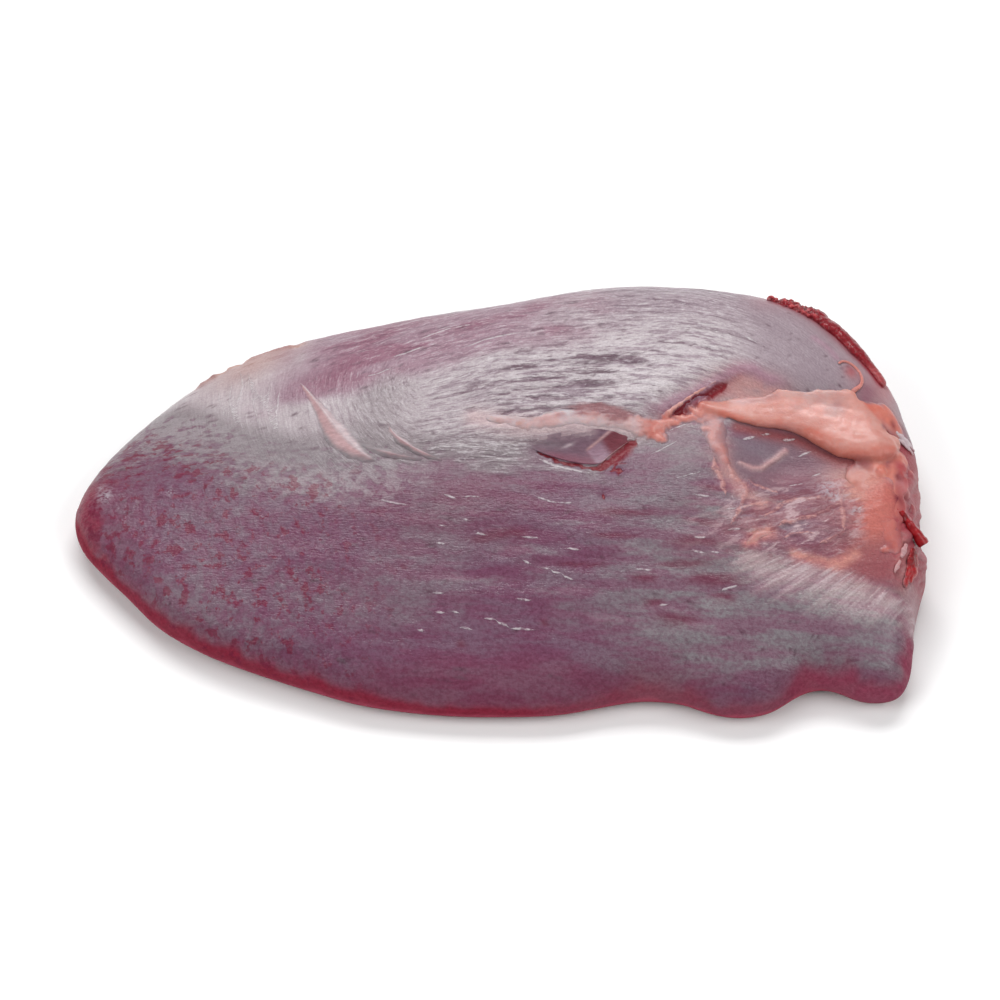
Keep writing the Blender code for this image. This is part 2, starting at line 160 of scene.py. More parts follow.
def grain(u, v, seed, octaves=1):
    """Smooth random values of about -1 to 1, with features about one unit wide."""
    total, size, weight = np.zeros(len(u)), 1.0, 1.0
    for k in range(octaves):
        iu, iv = np.floor(u * size), np.floor(v * size)
        fu, fv = u * size - iu, v * size - iv
        fu, fv = fu * fu * (3 - 2 * fu), fv * fv * (3 - 2 * fv)

        def corner(i, j):
            raw = np.sin(i * 127.1 + j * 311.7 + (seed + k) * 74.7) * 43758.5453
            return 2.0 * (raw - np.floor(raw)) - 1.0

        low = corner(iu, iv) * (1 - fu) + corner(iu + 1, iv) * fu
        high = corner(iu, iv + 1) * (1 - fu) + corner(iu + 1, iv + 1) * fu
        total += weight * (low * (1 - fv) + high * fv)
        size, weight = size * 2.03, weight * 0.5
    return total


def rounded(line):
    """A plan line with its corners cut twice."""
    for _ in range(2):
        cut_at = [((3 * p[0] + q[0]) / 4, (3 * p[1] + q[1]) / 4, (p[0] + 3 * q[0]) / 4, (p[1] + 3 * q[1]) / 4)
                  for p, q in zip(line, line[1:])]
        line = [line[0], *(point for four in cut_at for point in (four[:2], four[2:])), line[-1]]
    return line


def drawn(lines, uneven=0.2):
    """Fine lines on the skin: each is its half width and its points in plan.

    Gives, for each vertex, how far it lies to one side of the nearest line, that line's half
    width there, and 1 on a line. A line is thinner towards its ends.
    """
    far_off = 3.0
    side, width = np.full(len(X), far_off), np.full(len(X), 0.1)
    all_x, all_y = (row + uneven * grain(X / 1.1, Y / 1.1, seed, 2) for row, seed in ((X, 15), (Y, 16)))
    for half_width, *line in lines:
        line = rounded(line)
        xs, ys = zip(*line)
        box = (X > min(xs) - 2) & (X < max(xs) + 2) & (Y > min(ys) - 2) & (Y < max(ys) + 2) & (TOP > 0)
        x, y = all_x[box], all_y[box]
        steps = [math.hypot(q[0] - p[0], q[1] - p[1]) for p, q in zip(line, line[1:])]
        done, best, share = 0.0, np.full(len(x), far_off), np.zeros(len(x))
        for (x0, y0), (x1, y1), step in zip(line, line[1:], steps):
            dx, dy = (x1 - x0) / step, (y1 - y0) / step
            along = np.clip((x - x0) * dx + (y - y0) * dy, 0.0, step)
            gap = np.hypot(x - x0 - along * dx, y - y0 - along * dy)
            sign = np.where((x - x0) * dy - (y - y0) * dx > 0, 1.0, -1.0)
            closer = gap < np.abs(best)
            best = np.where(closer, sign * gap, best)
            share = np.where(closer, (done + along) / sum(steps), share)
            done += step
        closer = np.abs(best) < np.abs(side[box])
        tapered = half_width * np.sqrt(np.clip(1.0 - (2.0 * share - 1.0) ** 4, 0.03, 1.0))
        width[box] = np.where(closer, tapered, width[box])
        side[box] = np.where(closer, best, side[box])
    return np.column_stack([side, width, ease(np.abs(side) - 1.7 * width, 0.3, 0.05)])


# Furrows of the roll, which run along it, and finer creases between them.
FURROWS = (
    (0.2, (2.5, 18.2), (6, 18.9), (10, 19.2)),
    (0.22, (1.5, 15.6), (5, 15.2), (8, 16.2), (13, 16.7), (18, 16.4)),
    (0.3, (10, 14.8), (14, 14.6), (19, 15.6), (22, 17)), (0.18, (-3, 11.6), (2, 12.5), (7, 12.9), (12, 12.4)),
    (0.24, (5, 11), (10, 11.2), (15, 12.6), (20, 12.2)), (0.18, (-2, 10.2), (4, 10.8), (9, 10.6)),
    (0.28, (-6.5, 7.8), (-3.5, 7.6), (0, 8.9), (3, 8.6)), (0.22, (4, 9.4), (9, 9.2), (13, 8.2), (18, 8.6)),
    (0.24, (0, 6.9), (4, 7.4), (9, 7.2), (13, 6.2)), (0.4, (1.5, 5.2), (5, 5.6), (8, 5.4)),
    (0.22, (8, 13.6), (13, 13.8), (17, 13)), (0.18, (-10, 10.4), (-6, 11.2), (-2, 12.6)),
    (0.14, (24, 19), (30, 18.4), (34, 17)), (0.12, (30, 21.6), (36, 20.4), (41, 18)),
)
dark_line = drawn(FURROWS, 0.3)

# Torn and bleeding lines: the slit below the flap, the groove beside the fat, a burst vessel.
BLEEDS = (
    (0.32, (5.5, 0.9), (7, 0.4), (9.1, -0.4), (11.4, -1.1), (13.6, -1.5), (15.4, -1.7)),
    (0.95, (15.2, -1.6), (16.7, -0.7), (17.9, 0.4), (19, 1.6), (20.4, 2.8)),
    (0.62, (26.6, 7.3), (28.6, 8.5), (30.6, 9.8), (32.4, 10.9), (34.8, 12.1)), (0.85, (17.1, -2.4), (18, -2.2)),
    (0.16, (15.7, -5.9), (15.9, -6.9)),
)
red_line = drawn(BLEEDS, 0.38)

# The web over the foot of the hollow: threads of tissue that stand up from the skin.
WEB = (
    (0.4, (32.1, -0.6), (32.8, -2.6), (33.5, -4.6), (34.2, -6.4)),
    (0.45, (34.3, -1.1), (35.2, -2.9), (36.3, -4.2), (37.2, -5.2)),
    (0.2, (37.2, -3.4), (39, -4), (40.8, -4.7), (42.2, -5.6)),
    (0.25, (37.1, -5), (36.9, -6.8), (36.1, -8.6), (34.7, -11.6)),
    (0.3, (39.9, -10), (43.2, -6.9), (46.8, -6.2), (50.1, -6.5)),
    (0.28, (41.3, -11.6), (43.9, -10.7), (46.7, -9.7), (51.1, -7.6)),
    (0.3, (51.3, -4.4), (51.1, -7.6), (51.8, -9.5), (51.7, -11.7)),
    (0.3, (48, -14.4), (51.1, -12.6), (51.9, -11.7)), (0.22, (36.2, -8.8), (38.2, -8), (40.4, -7.4)),
    (0.2, (42.6, -13.4), (45, -12.6), (47.4, -12.4)),
)
cord_line = drawn(WEB, 0.3)

# Pale lines: pale fibres by the folds of membrane, on the roll and beside the hollow, and painted
# highlights: short glints over the thin side, in the hollow and below the slit.
GLINT_TICK_WIDTH = 0.14
GLINT_TICKS = (
    (-18.1, -6.2, -14, -7.3), (-8.5, -5.7, -6.6, -6.6), (-5.6, -6.3, -4.9, -6.4), (-4.5, -6.2, -3.3, -6.5),
    (-5.6, -10, -4.5, -10.4), (-9, -10.8, -8, -11.1), (-3.5, -12.3, -2.3, -12.6), (3.2, -13.2, 5.6, -13.4),
    (-9.5, -13.6, -8.3, -13.8), (10.1, -15, 12, -15.3), (3.5, -16.8, 4.6, -17.3), (6, -17.8, 7.5, -18.1),
    (7.8, -18.6, 9.1, -18.8), (9.4, -19.2, 10.9, -19.8), (-10, -21.3, -8.5, -21.5), (2.5, -22.5, 4.6, -22.8),
    (-9.7, -24.1, -8.2, -24.3), (-7.1, -24.1, -6.2, -24.3), (-2.4, -25.2, -0.9, -25.4),
    (-0.4, -25.8, 1.2, -26.3), (1.6, -26.7, 4.9, -27), (-12.1, -26.7, -11.4, -26.9), (-5.9, -26.4, -4.3, -26.8),
    (5.6, -6.7, 9, -7.8), (9, -7.6, 11.1, -7.8), (29.5, -6.9, 31.6, -7.1), (34.2, -9.1, 35.4, -8.9),
    (34.2, -12.4, 36, -12.2), (28.6, -15.5, 30.6, -15.9), (31.8, -15.8, 32.8, -15.9),
    (20.4, -18.4, 22.8, -18.5), (33.2, -21.4, 35.5, -20.9), (23.8, -23.6, 25.1, -23.6),
    (29.2, -13.6, 30.8, -13.7),
)
FIBRES_AND_GLINTS = (
    (0.2, (5.8, 0), (8.3, -1.1), (10.9, -1.9), (13.6, -2.6)),
    (0.1, (-40.2, 19.8), (-39.6, 17.2), (-40, 14.9), (-40.6, 13), (-40.2, 10.4), (-39.2, 7.9)),
    (0.08, (-43.4, 16), (-43, 13.4), (-42.2, 11)), (0.08, (-38.9, 19), (-38.2, 15.8), (-37.8, 12.4), (-37, 9)),
    (0.08, (-35.4, 16.4), (-35.6, 13.6), (-35, 10.6)),
    (0.1, (-38.2, 17.5), (-37.5, 15.1), (-36.6, 13.1), (-35.6, 11.1), (-34.9, 8.7), (-34.2, 6.7)),
    (0.13, (-33.9, 14.4), (-34.1, 12.4), (-34.3, 10.2), (-33.9, 7.5)),
    (0.1, (-41.3, 17.2), (-41.7, 14.5), (-41.3, 12.1), (-40.4, 9.2)),
    (0.09, (-36.6, 14.2), (-35.3, 12.5), (-35.9, 11.5)), (0.1, (22.8, 0.4), (26.8, 2.6)),
    (0.1, (25.8, 4.6), (29.4, 6.4)), (0.09, (26, -4.4), (30.2, -3)),
    (0.12, (-12.2, 22.4), (-8, 24.2), (-3.8, 25)), (0.14, (-6, 19.8), (-1, 21.6), (3.4, 22.2)),
    (0.12, (-16.4, 19), (-11.6, 20.6)), (0.1, (-20.4, 15.4), (-16.2, 16.8)), (0.16, (30.4, 22.6), (32.6, 22.2)),
    (0.12, (37.6, 20.2), (39.2, 19)), (0.16, (36.9, 3.6), (38.6, 4.2)), (0.13, (39.8, 4.7), (41, 4.9)),
    (0.16, (43, 4.1), (44.8, 4.4)), (0.14, (45.4, 1.8), (47.2, 2.4)), (0.14, (43.8, -3.3), (45.8, -3)),
    (0.14, (47.4, -1.6), (48.6, -1.2)), (0.18, (54, -8.4), (54.8, -7.6)),
)
fibre_and_glint_line = drawn([(GLINT_TICK_WIDTH, tick[:2], tick[2:]) for tick in GLINT_TICKS] + list(FIBRES_AND_GLINTS), 0.08)


def line_distance(line, waver=0.0):
    """How far each point of the skin is from a line in plan."""
    nearest = np.full(len(X), 1e9)
    y = Y + waver
    for (x0, y0), (x1, y1) in zip(line, line[1:]):
        dx, dy = x1 - x0, y1 - y0
        share = np.clip(((X - x0) * dx + (y - y0) * dy) / (dx * dx + dy * dy), 0.0, 1.0)
        nearest = np.minimum(nearest, np.hypot(X - x0 - share * dx, y - y0 - share * dy))
    return nearest


def beside(distance, reach):
    """1 on a line, and falling softly to 0 with the distance from it."""
    return np.exp(-(distance / reach) ** 2)


def spot(x, y, middle, half, turn=0.0):
    """1 in the middle of a soft oval, falling away to 0 outside it. turn is in degrees."""
    c, s = math.cos(math.radians(turn)), math.sin(math.radians(turn))
    along = ((x - middle[0]) * c + (y - middle[1]) * s) / half[0]
    across = ((y - middle[1]) * c - (x - middle[0]) * s) / half[1]
    return np.exp(-(along * along + across * across))


def oval(strength, x, y, half_x, half_y, turn=0.0, waver=0.0):
    """A soft oval on the skin, as strong as given in its middle, and held to 1."""
    return np.clip(strength * spot(X, Y + waver, (x, y), (half_x, half_y), turn), 0, 1)


# The relief of the capsule, in millimetres.
wrinkled = ease(UNDER_PALE, -1, 3) * ease(X, -52, -42) * ease(X, 44, 32) * ease(Y, 27, 18)
wrinkled *= 1 - 0.5 * ease(X, -24, -32)
wrinkles = grain(S / 5.0, T / 0.7, 11, 3) * (1 - arcs) + grain(arc_s / 5.0, arc_r / 0.85, 12, 3) * arcs
broad_waves = grain(S / 14.0, T / 3.2, 21, 2)
dimples = grain(X / 1.3, Y / 1.3, 31, 2)
fan_ribs = grain(fan_a / 0.9, fan_r / 14.0, 41, 3)
FAN_TOP = ((36.7, -15.4), (43.5, -16.6), (49.5, -17.9), (53.9, -18.9), (57.6, -20.5), (60, -21.3), (65, -21.5))
FAN_FOOT = ((36.7, -19.6), (43.3, -22.6), (49.3, -24.6), (55.3, -25.6), (59.9, -26), (65, -26))
fan_top, fan_foot = height_of(X, FAN_TOP), height_of(X, FAN_FOOT)
fan_share = ease(Y + 0.5 * fan_ribs, fan_top + 0.8, fan_top - 0.8)
fan_share *= ease(Y + fan_ribs, fan_foot - 2.6, fan_top - 0.5)
fan_share *= ease(X + 1.5 * fan_ribs, 34, 39) * (1 - 0.2 * ease(X, 55, 63))
low_side = ease(UNDER_PALE, 1, -4) * ease(X, -25, -5)
under_flap = ease(oval(1, 11.0, 1.8, 8.6, 3.0, 2), 0.3, 0.6)
low_waves = grain(S / 7.0, T / 1.3, 51, 2)
ridges = beside(fibre_and_glint_line[:, 0], 0.3) * ease(X, -28, -32)
NICK = ((-47, 20.0), (-42.5, 22.6), (-36.7, 25.4), (-31.5, 25.6))
nicked = beside(line_distance(NICK), 1.2) * ease(facing[:, 2], 0.1, 0.45)
CRESCENT_FOLD = ((36.4, -0.6), (38.2, -1.1), (39.6, -0.8), (41.2, 0.8), (43.4, 2.5))
crescent_line = line_distance(CRESCENT_FOLD, 0.2 * grain(X / 1.0, Y / 1.0, 100))
webbed = oval(1, 45, -10, 11, 6.0, 8)
CAPSULE_EDGE = (
    (21.2, 6.6), (24.3, 7.8), (27.4, 9.3), (30.5, 10.9), (33.5, 12.8), (36.6, 14.3), (38.1, 14.3), (41.2, 12.6),
    (44.6, 11.8),
)
lip_line = line_distance(CAPSULE_EDGE, 0.3 * grain(X / 1.4, Y / 1.4, 99))
snags = grain(X / 2.6 + 0.3 * Y, Y / 0.9, 91, 3)
ragged = ease(X, 58.5, 61.5) * ease(Y, -21, -17) * ease(Y, 4, 0)
crumbs = grain(X / 1.5 + 7, Y / 1.5 + Z / 1.5, 95, 2)
relief = TOP * (1 - 0.9 * under_flap) * (
    0.11 * wrinkles * wrinkled + 0.14 * broad_waves * ease(X, -50, -20)
    + 0.04 * dimples + 0.12 * fan_ribs * fan_share + 0.06 * low_waves * low_side
    - 0.18 * beside(dark_line[:, 0], 0.35) + 0.07 * beside(np.abs(dark_line[:, 0]) - 0.7, 0.3)
    + 0.10 * ridges + 0.4 * crumbs * nicked + 0.2 * beside(lip_line, 0.6) + 0.4 * beside(crescent_line, 0.4)
    + 0.22 * beside(cord_line[:, 0], 0.32) + 0.22 * snags * webbed + 0.45 * crumbs * ragged
    + 0.7 * oval(1, 57.6, -6.6, 2.8, 5.0, -20) - 0.8 * oval(1, 62.0, 9.6, 3.0, 4.0, -20)
)
relief -= 0.35 * TOP * beside(red_line[:, 0], 0.45)
raised = (place + facing * relief[:, None]) * MM
raised[:, 2] = np.maximum(raised[:, 2], 0.0)
reshape(organ, raised)


def light(red, green, blue):
    """A colour as a screen shows it, turned into the amounts of light that a shader takes."""
    shares = [c / 255.0 for c in (red, green, blue)]
    return [c / 12.92 if c <= 0.04045 else ((c + 0.055) / 1.055) ** 2.4 for c in shares]


def laid(tones, *films):
    """Tones with films laid over them in turn: each is a colour and its share at each point."""
    for colour, share in films:
        tones = tones + (np.asarray(colour) - tones) * share[:, None]
    return tones


# The broad areas of colour, each laid over the ones before.
PULP = light(107, 71, 91)
PULP_RED = light(115, 60, 80)
PULP_DARK = light(102, 50, 68)
HAZED = light(117, 99, 108)
GREY = light(129, 119, 122)
PALE_AND_SHEEN = light(174, 162, 166)
BRIGHT_AND_SHEEN = light(186, 176, 179)
ROSE = light(144, 114, 127)
DUSK_ROSE = light(130, 84, 102)
SLATE = light(143, 126, 134)
DEEP = light(84, 58, 70)
STREAK_GREY = light(134, 116, 124)
# Shaded furrows of the roll, then bands of darker pulp and the paler streaks between them.
SHADED = (
    (16, 16.2, 5.5, 0.8), (14, 13.4, 3.5, 0.6), (15, 11.4, 5, 0.9), (5, 5.6, 3.5, 0.7), (3, 15.2, 3, 0.5),
    (20, 15.2, 3, 0.6),
)
BANDS = (
    (29.8, -14.5, 4.6, 0.8), (30.6, -11.2, 3, 0.7), (23, -23.1, 1.8, 0.7), (32.4, -20, 5.2, 1.1),
    (21.6, -19.6, 2.2, 0.9), (26.6, -25.6, 3.6, 1.2), (33.3, -22.7, 2.2, 0.8), (32.4, -5.6, 3, 0.7),
    (27.4, -17.4, 4, 0.7), (19, -9.6, 5, 0.7), (17, -13.4, 4, 0.6), (12, -17.6, 4, 0.6), (1, -12.6, 3.6, 0.7),
    (-2, -13.2, 3, 0.5), (6.6, -25.8, 0.7, 0.5), (-5.8, -29, 0.9, 0.6), (-16.5, -23.9, 0.7, 0.5),
    (-14.4, -17.2, 0.6, 0.5),
)
STREAKS = (
    (21, -15.4, 5), (28.5, -13.2, 3.4), (34.5, -13, 2.6), (34, -16.4, 4), (25, -18.7, 5), (36, -18.4, 3),
    (24.7, -23.9, 5), (32.9, -23.3, 4), (24, -27.2, 4), (30, -26.4, 4), (30, -8.6, 4), (13, -11.2, 6),
    (4, -15.4, 6), (10, -21.4, 6), (-4, -19.4, 7), (16, -25.6, 5),
)
wavy = UNDER_PALE + 1.6 * grain(X / 3.0, Y / 1.6, 62, 3)
upper = ease(wavy, -2.5, 2.5)
cloud = grain(X / 9.0, Y / 7.0, 61, 3)
ragged_x = X + 4.0 * cloud + 2.0 * grain(S / 3.0, T / 1.6, 67, 2)
torn_up = grain(S / 2.6, T / 0.42, 65, 3)
waver = grain(S / 4.0, T / 1.6, 66, 2)
tone = laid(
    np.tile(PULP, (len(X), 1)),
    (PULP_RED, 0.6 * ease(Y + 1.5 * cloud, -29, -34) * ease(X, 40, 24)),
    (HAZED, 0.5 * ease(cloud, -0.6, 0.8) * ease(Y, -30, -24)),
    (HAZED, ease(X, 8, 30) * ease(Y, -2, -10) * ease(Y, -36, -31)),
    (PULP_RED, 0.5 * ease(X, -50, -62)),
    (PULP_DARK, oval(0.3, -7, -7, 15, 6)),
    (GREY, upper),
    (GREY, 0.5 * ease(wavy, -9, -2) * ease(X, -12, -28)),
    # Painted sheen over the capsule's own paleness: the upper left and middle of the pale area, and the brightest
    # part of the roll.
    (PALE_AND_SHEEN, upper * ease(UNDER_PALE, 3, 8.5) * ease(X, -68, -54) * ease(X, -17, -27)),
    (PALE_AND_SHEEN, 0.85 * upper * ease(UNDER_PALE, 2, 7) * ease(X, -26, -8)),
    (BRIGHT_AND_SHEEN, oval(1, 24, 13.5, 17, 7.0, -4)),
    (ROSE, 0.95 * ease(T + 2 * cloud, 17, 22) * ease(ragged_x, -42, -30) * ease(ragged_x, 22, 2)),
    (DUSK_ROSE, 0.9 * ease(grain(S / 9.0, T / 2.2, 63, 3), -0.35, 0.5) * ease(T, 18, 22)
     * ease(ragged_x, -34, -22) * ease(ragged_x, 22, 2)),
    (SLATE, ease(X, 32, 42) * upper),
    (SLATE, 0.8 * ease(Y, 21, 27) * ease(X, 12, 20)),
    # Painted sheen: the far slope of the roll is made paler where it faces back, towards the back light.
    (PALE_AND_SHEEN, 0.9 * ease(facing[:, 1], 0.66, 0.76) * ease(X, -18, -8) * ease(X, 36, 28)),
    *((DEEP, 0.8 * ease(oval(1, *shaded, 3) + 0.35 * torn_up, 0.25, 0.75)) for shaded in SHADED),
    *((PULP_DARK, 0.8 * ease(oval(1, *band, -2, 0.4 * waver), 0.1, 0.9)) for band in BANDS),
    *((STREAK_GREY, 0.5 * ease(oval(1, *streak, 0.6, -3, 0.6 * waver), 0.1, 0.9)) for streak in STREAKS),
)

# Films, stains and raw places over them: round the hilum, along the fat, and at the blunt end.
# Painted shade lies under the tongue, above the fat strip and in the crevices between the bumps.
BAND_GREY = light(112, 100, 106)
FIBRE = light(172, 152, 153)
HOLLOW_GREY = light(121, 96, 106)
BLUE_GREY = light(116, 102, 114)
CRESCENT = light(186, 146, 146)
WEB_TONE = light(140, 98, 106)
WEB_BROWN = light(134, 82, 90)
WEB_RED = light(144, 72, 76)
BAND_ORANGE = light(196, 134, 124)
FILM = light(166, 122, 122)
PATCH_TAN = light(182, 122, 112)
ORANGE_FAT = light(180, 100, 92)
RED_FLESH = light(160, 68, 72)
EDGE_FLESH = light(146, 66, 74)
MAUVE = light(126, 78, 92)
BROWNISH = light(158, 118, 122)
UNDER_TONGUE_SHADOW = light(132, 62, 64)
TAN = light(170, 116, 100)
TORN_SKIN = light(140, 14, 34)
PINK_EDGE = light(158, 118, 126)
SHELL_PINK = light(176, 140, 142)
FLAP_SKIN = light(116, 92, 104)
STRIP_SKIN = light(190, 166, 168)
RUSTY_SKIN_AND_CREASE_SHADE = light(140, 92, 96)
GROOVE_PINK = light(160, 112, 118)
GROOVE_RED = light(112, 8, 22)
BROWN_RED = light(138, 76, 82)
BUMP_PINK = light(176, 122, 124)
CREVICE_SHADE = light(112, 34, 48)
MEMBRANE_GREY = light(152, 132, 138)
ROOT_PINK = light(180, 136, 134)
LIP_LILAC = light(158, 118, 136)
TORN = (
    (41.5, 29.6), (44.8, 29.2), (47.6, 27.8), (50.1, 26), (52.4, 23.9), (54.3, 21.9), (56.1, 20), (57.5, 18.3),
    (58.6, 16.4),
)
torn_line = line_distance(TORN)
ring = line_distance(((31.4, 8.6), (32.4, 5), (33.4, 1.4), (34.4, -2), (36.6, -5.6), (39.6, -8)))
tongue_foot = line_distance(
    ((36, 6.4), (39.4, 5.9), (44.6, 5.4), (46.7, 4.5), (48.9, 3), (51.5, 1.4), (57.6, 0.7)), 0.9
)
strip_line = line_distance(((-4, 6.6), (1.8, 5.2), (6.8, 4.6), (11.7, 4.9), (17.6, 4.6), (22, 4.6)))
groove_line = line_distance(
    ((25.1, 6.4), (27.4, 7.7), (30, 9.5), (32.3, 10.9), (34.6, 12), (36.3, 12.9)), 0.2 * grain(X / 1.2, Y / 1.2, 98)
)
band_line = np.minimum(
    line_distance(((37.3, -14.4), (38.8, -13), (40.6, -12.6)), 0.5 * crumbs),
    line_distance(((44.4, -16.3), (47.2, -16.9), (49.5, -17.3), (51.3, -17), (53.3, -15.6)), 0.3 * crumbs),
)
vessel_shade = line_distance(((48.2, 21.0), (50.5, 19.2), (51.6, 17.7)))
BUMPS = ((59.2, -2.6), (61.4, -3.7), (57.6, -0.5), (62.6, 0.4), (62.6, -5.4), (61.9, -8.2))
SHADED_CREVICES = ((62.0, -5.2), (59.9, -6.0), (60.1, -2.0), (59.3, -0.6))
films = (
    (GREY, oval(0.7, 27.5, 2.5, 5.0, 5.5)),
    (EDGE_FLESH, 0.8 * ease(X, 61.2, 63.0) * ease(Y, 8, 5) * ease(Y, -13, -9)),
    (BAND_GREY, oval(0.6, -31, 2.5, 14, 3.6, -14)),
    (FIBRE, 0.9 * fan_share * (0.75 + 0.25 * ease(fan_ribs, -1.1, 0.6))),
    (WEB_TONE, oval(1.6, 44.5, -10.0, 11, 5.2, 6) * ease(snags, -1.2, 0.5)),
    (BLUE_GREY, oval(0.8, 44.6, -11.6, 3.4, 1.1, 12, 0.4 * snags)),
    (BLUE_GREY, oval(0.8, 47.6, -13.6, 3.0, 1.0, 12, 0.4 * snags)),
    (BLUE_GREY, oval(0.8, 36.4, -6.8, 2.4, 1.0, 12, 0.4 * snags)),
    (WEB_BROWN, oval(0.7, 48.0, -9.0, 5.0, 1.3, 20, 0.4 * snags)),
    (WEB_RED, oval(0.8, 56.2, -12.6, 4.6, 3.4, -30)),
    (BROWN_RED, oval(1.3, 55.0, -16.8, 7.0, 3.0, -16)),
    (MAUVE, oval(0.7, 45.4, -14.8, 5.5, 1.3, -6)),
    (BAND_ORANGE, 0.85 * beside(band_line, 0.9)),
    (HOLLOW_GREY, oval(2.2, 42.6, 0.2, 8.0, 4.6)),
    (BLUE_GREY, oval(0.7, 38.6, 3.2, 4.2, 2.8)),
    (MAUVE, oval(0.75, 44.4, -2.4, 4.6, 2.4, 14)),
    (CRESCENT, 0.85 * beside(crescent_line, 0.42)),
    (FILM, 0.95 * beside(ring, 1.6 + 0.7 * grain(X / 3.0, Y / 3.0, 97))),
    (FILM, oval(0.8, 50.6, -3.0, 2.6, 3.4, -20)),
    (PATCH_TAN, oval(1.6, 55.4, -3.6, 3.4, 3.6, -25)),
    (ORANGE_FAT, oval(1.7, 57.2, -8.2, 2.6, 4.8, -20)),
    (ORANGE_FAT, oval(0.9, 59.2, 8.0, 2.6, 3.4, -40)),
    (RED_FLESH, oval(1.6, 62.2, 0.8, 2.6, 4.2)),
    (RED_FLESH, oval(0.8, 61.0, -8.6, 1.6, 1.6)),
    (RED_FLESH, oval(1.3, 61.2, -15.0, 2.2, 4.2, 10)),
    (SHELL_PINK, 0.85 * oval(1.4, 63.2, -21.0, 2.0, 5.0)),
    (STRIP_SKIN, 0.9 * beside(strip_line, 1.5)),
    # painted shade in the crease above the fat strip
    (RUSTY_SKIN_AND_CREASE_SHADE, 0.9 * ease(oval(1, 15.6, 6.5, 5.6, 1.0, -8, 0.4 * torn_up), 0.15, 0.6)),
    (FLAP_SKIN, 0.9 * ease(oval(1, 10.6, 1.6, 8.0, 2.4, 2), 0.25, 0.7)),
    (GROOVE_PINK, 0.8 * beside(groove_line, 2.0)),
    (GROOVE_RED, np.clip(1.4 * beside(groove_line, 0.75), 0, 1)),
    (RED_FLESH, oval(0.85, 53.8, 15.5, 1.0, 1.3)),
    (BROWNISH, oval(0.8, 57.6, 13.2, 3.6, 4.0)),
    (MAUVE, oval(0.85, 56.2, 12.3, 1.7, 2.9, -20)),
    (RED_FLESH, oval(0.8, 59.0, 15.0, 1.5, 2.4)),
    (LIP_LILAC, 0.6 * beside(vessel_shade, 0.5)),
    (PINK_EDGE, 0.75 * beside(torn_line, 3.2)),
    (TORN_SKIN, np.clip(1.3 * beside(torn_line, 1.25), 0, 1) * ease(X, 41, 44)),
    (RED_FLESH, 0.8 * ragged * ease(Y, -13, -10)),
    (FILM, 0.6 * ragged * ease(Y, -10, -14)),
    (ROOT_PINK, 0.95 * oval(1.5, 38.8, 11.2, 4.6, 2.2, -10)),
    (MEMBRANE_GREY, 0.7 * ease(crumbs, -0.2, 0.5) * oval(1, 40.4, 11.6, 3.4, 1.2, -12)),
    (LIP_LILAC, 0.75 * beside(lip_line, 0.85) * ease(X, 20, 25) * ease(X, 45, 41)),
    # painted shadow along the foot of the tongue
    (UNDER_TONGUE_SHADOW, 0.85 * beside(tongue_foot, 1.0)),
    (TAN, oval(0.5, -38, 22, 7, 3.6, 30) * ease(facing[:, 2], 0.0, 0.5)),
    (TAN, 0.9 * nicked),
    (RUSTY_SKIN_AND_CREASE_SHADE, 0.8 * nicked * ease(crumbs, 0.0, 0.6)),
    *((BUMP_PINK, oval(0.85, *middle, 1.0, 0.9)) for middle in BUMPS),
    # painted shade in the crevices between the bumps
    *((CREVICE_SHADE, oval(0.95, *middle, 0.6, 0.8, 30)) for middle in SHADED_CREVICES),
)
tone = laid(tone, *films)
calm = np.max([share for _, share in films], axis=0)

# The margins, which are redder than the rest, a painted reflection of the floor where the edge turns under, and the
# underside.
MARGIN_RED = light(128, 34, 54)
MARGIN_FLOOR_REFLECTION = light(158, 66, 86)
MARGIN_MAUVE = light(136, 60, 80)
UNDERSIDE = light(118, 24, 42)
below = facing[:, 2] + 0.10 * grain(X / 2.5, Y / 2.5, 64, 2)
edge_red = ease(below, 0.58, 0.30) * ease(Y, 4, -6) * (1 - 0.45 * ease(X, 2, 14)) * ease(X, 50, 40)
reflecting_edge = ease(below, 0.16, -0.15) * ease(Y, 4, -6)
mauve_edge = ease(below, 0.66, 0.36) * ease(X, 40, 47) * ease(Y + 0.6 * fan_ribs, -24, -28)
tip_red = ease(X + 1.6 * cloud + 1.8 * crumbs, -60.0, -63.0)
tone = laid(
    tone,
    (PULP_RED, 0.5 * ease(below, 0.76, 0.52) * ease(Y, 0, -10)),
    (MARGIN_MAUVE, 0.8 * mauve_edge),
    (MARGIN_RED, np.clip(0.95 * edge_red + 0.7 * tip_red, 0, 1)),
    # painted reflection of the pale floor on the edge that turns under
    (MARGIN_FLOOR_REFLECTION, 0.9 * reflecting_edge * ease(X, 56, 46)),
    (EDGE_FLESH, 0.85 * ease(X, 60.5, 62.5) * ease(Y, -20, -15) * ease(Y, 7, 3)),
    (UNDERSIDE, ease(facing[:, 2], -0.1, -0.5)),
)


def keep(piece, name, *columns):
    """Keeps values on a piece's vertices for its material: three of them, or a colour's four."""
    rows = np.column_stack(columns).astype(np.float32)
    kind, field = ("FLOAT_COLOR", "color") if rows.shape[1] == 4 else ("FLOAT_VECTOR", "vector")
    piece.data.attributes.new(name, kind, "POINT").data.foreach_set(field, rows.ravel())


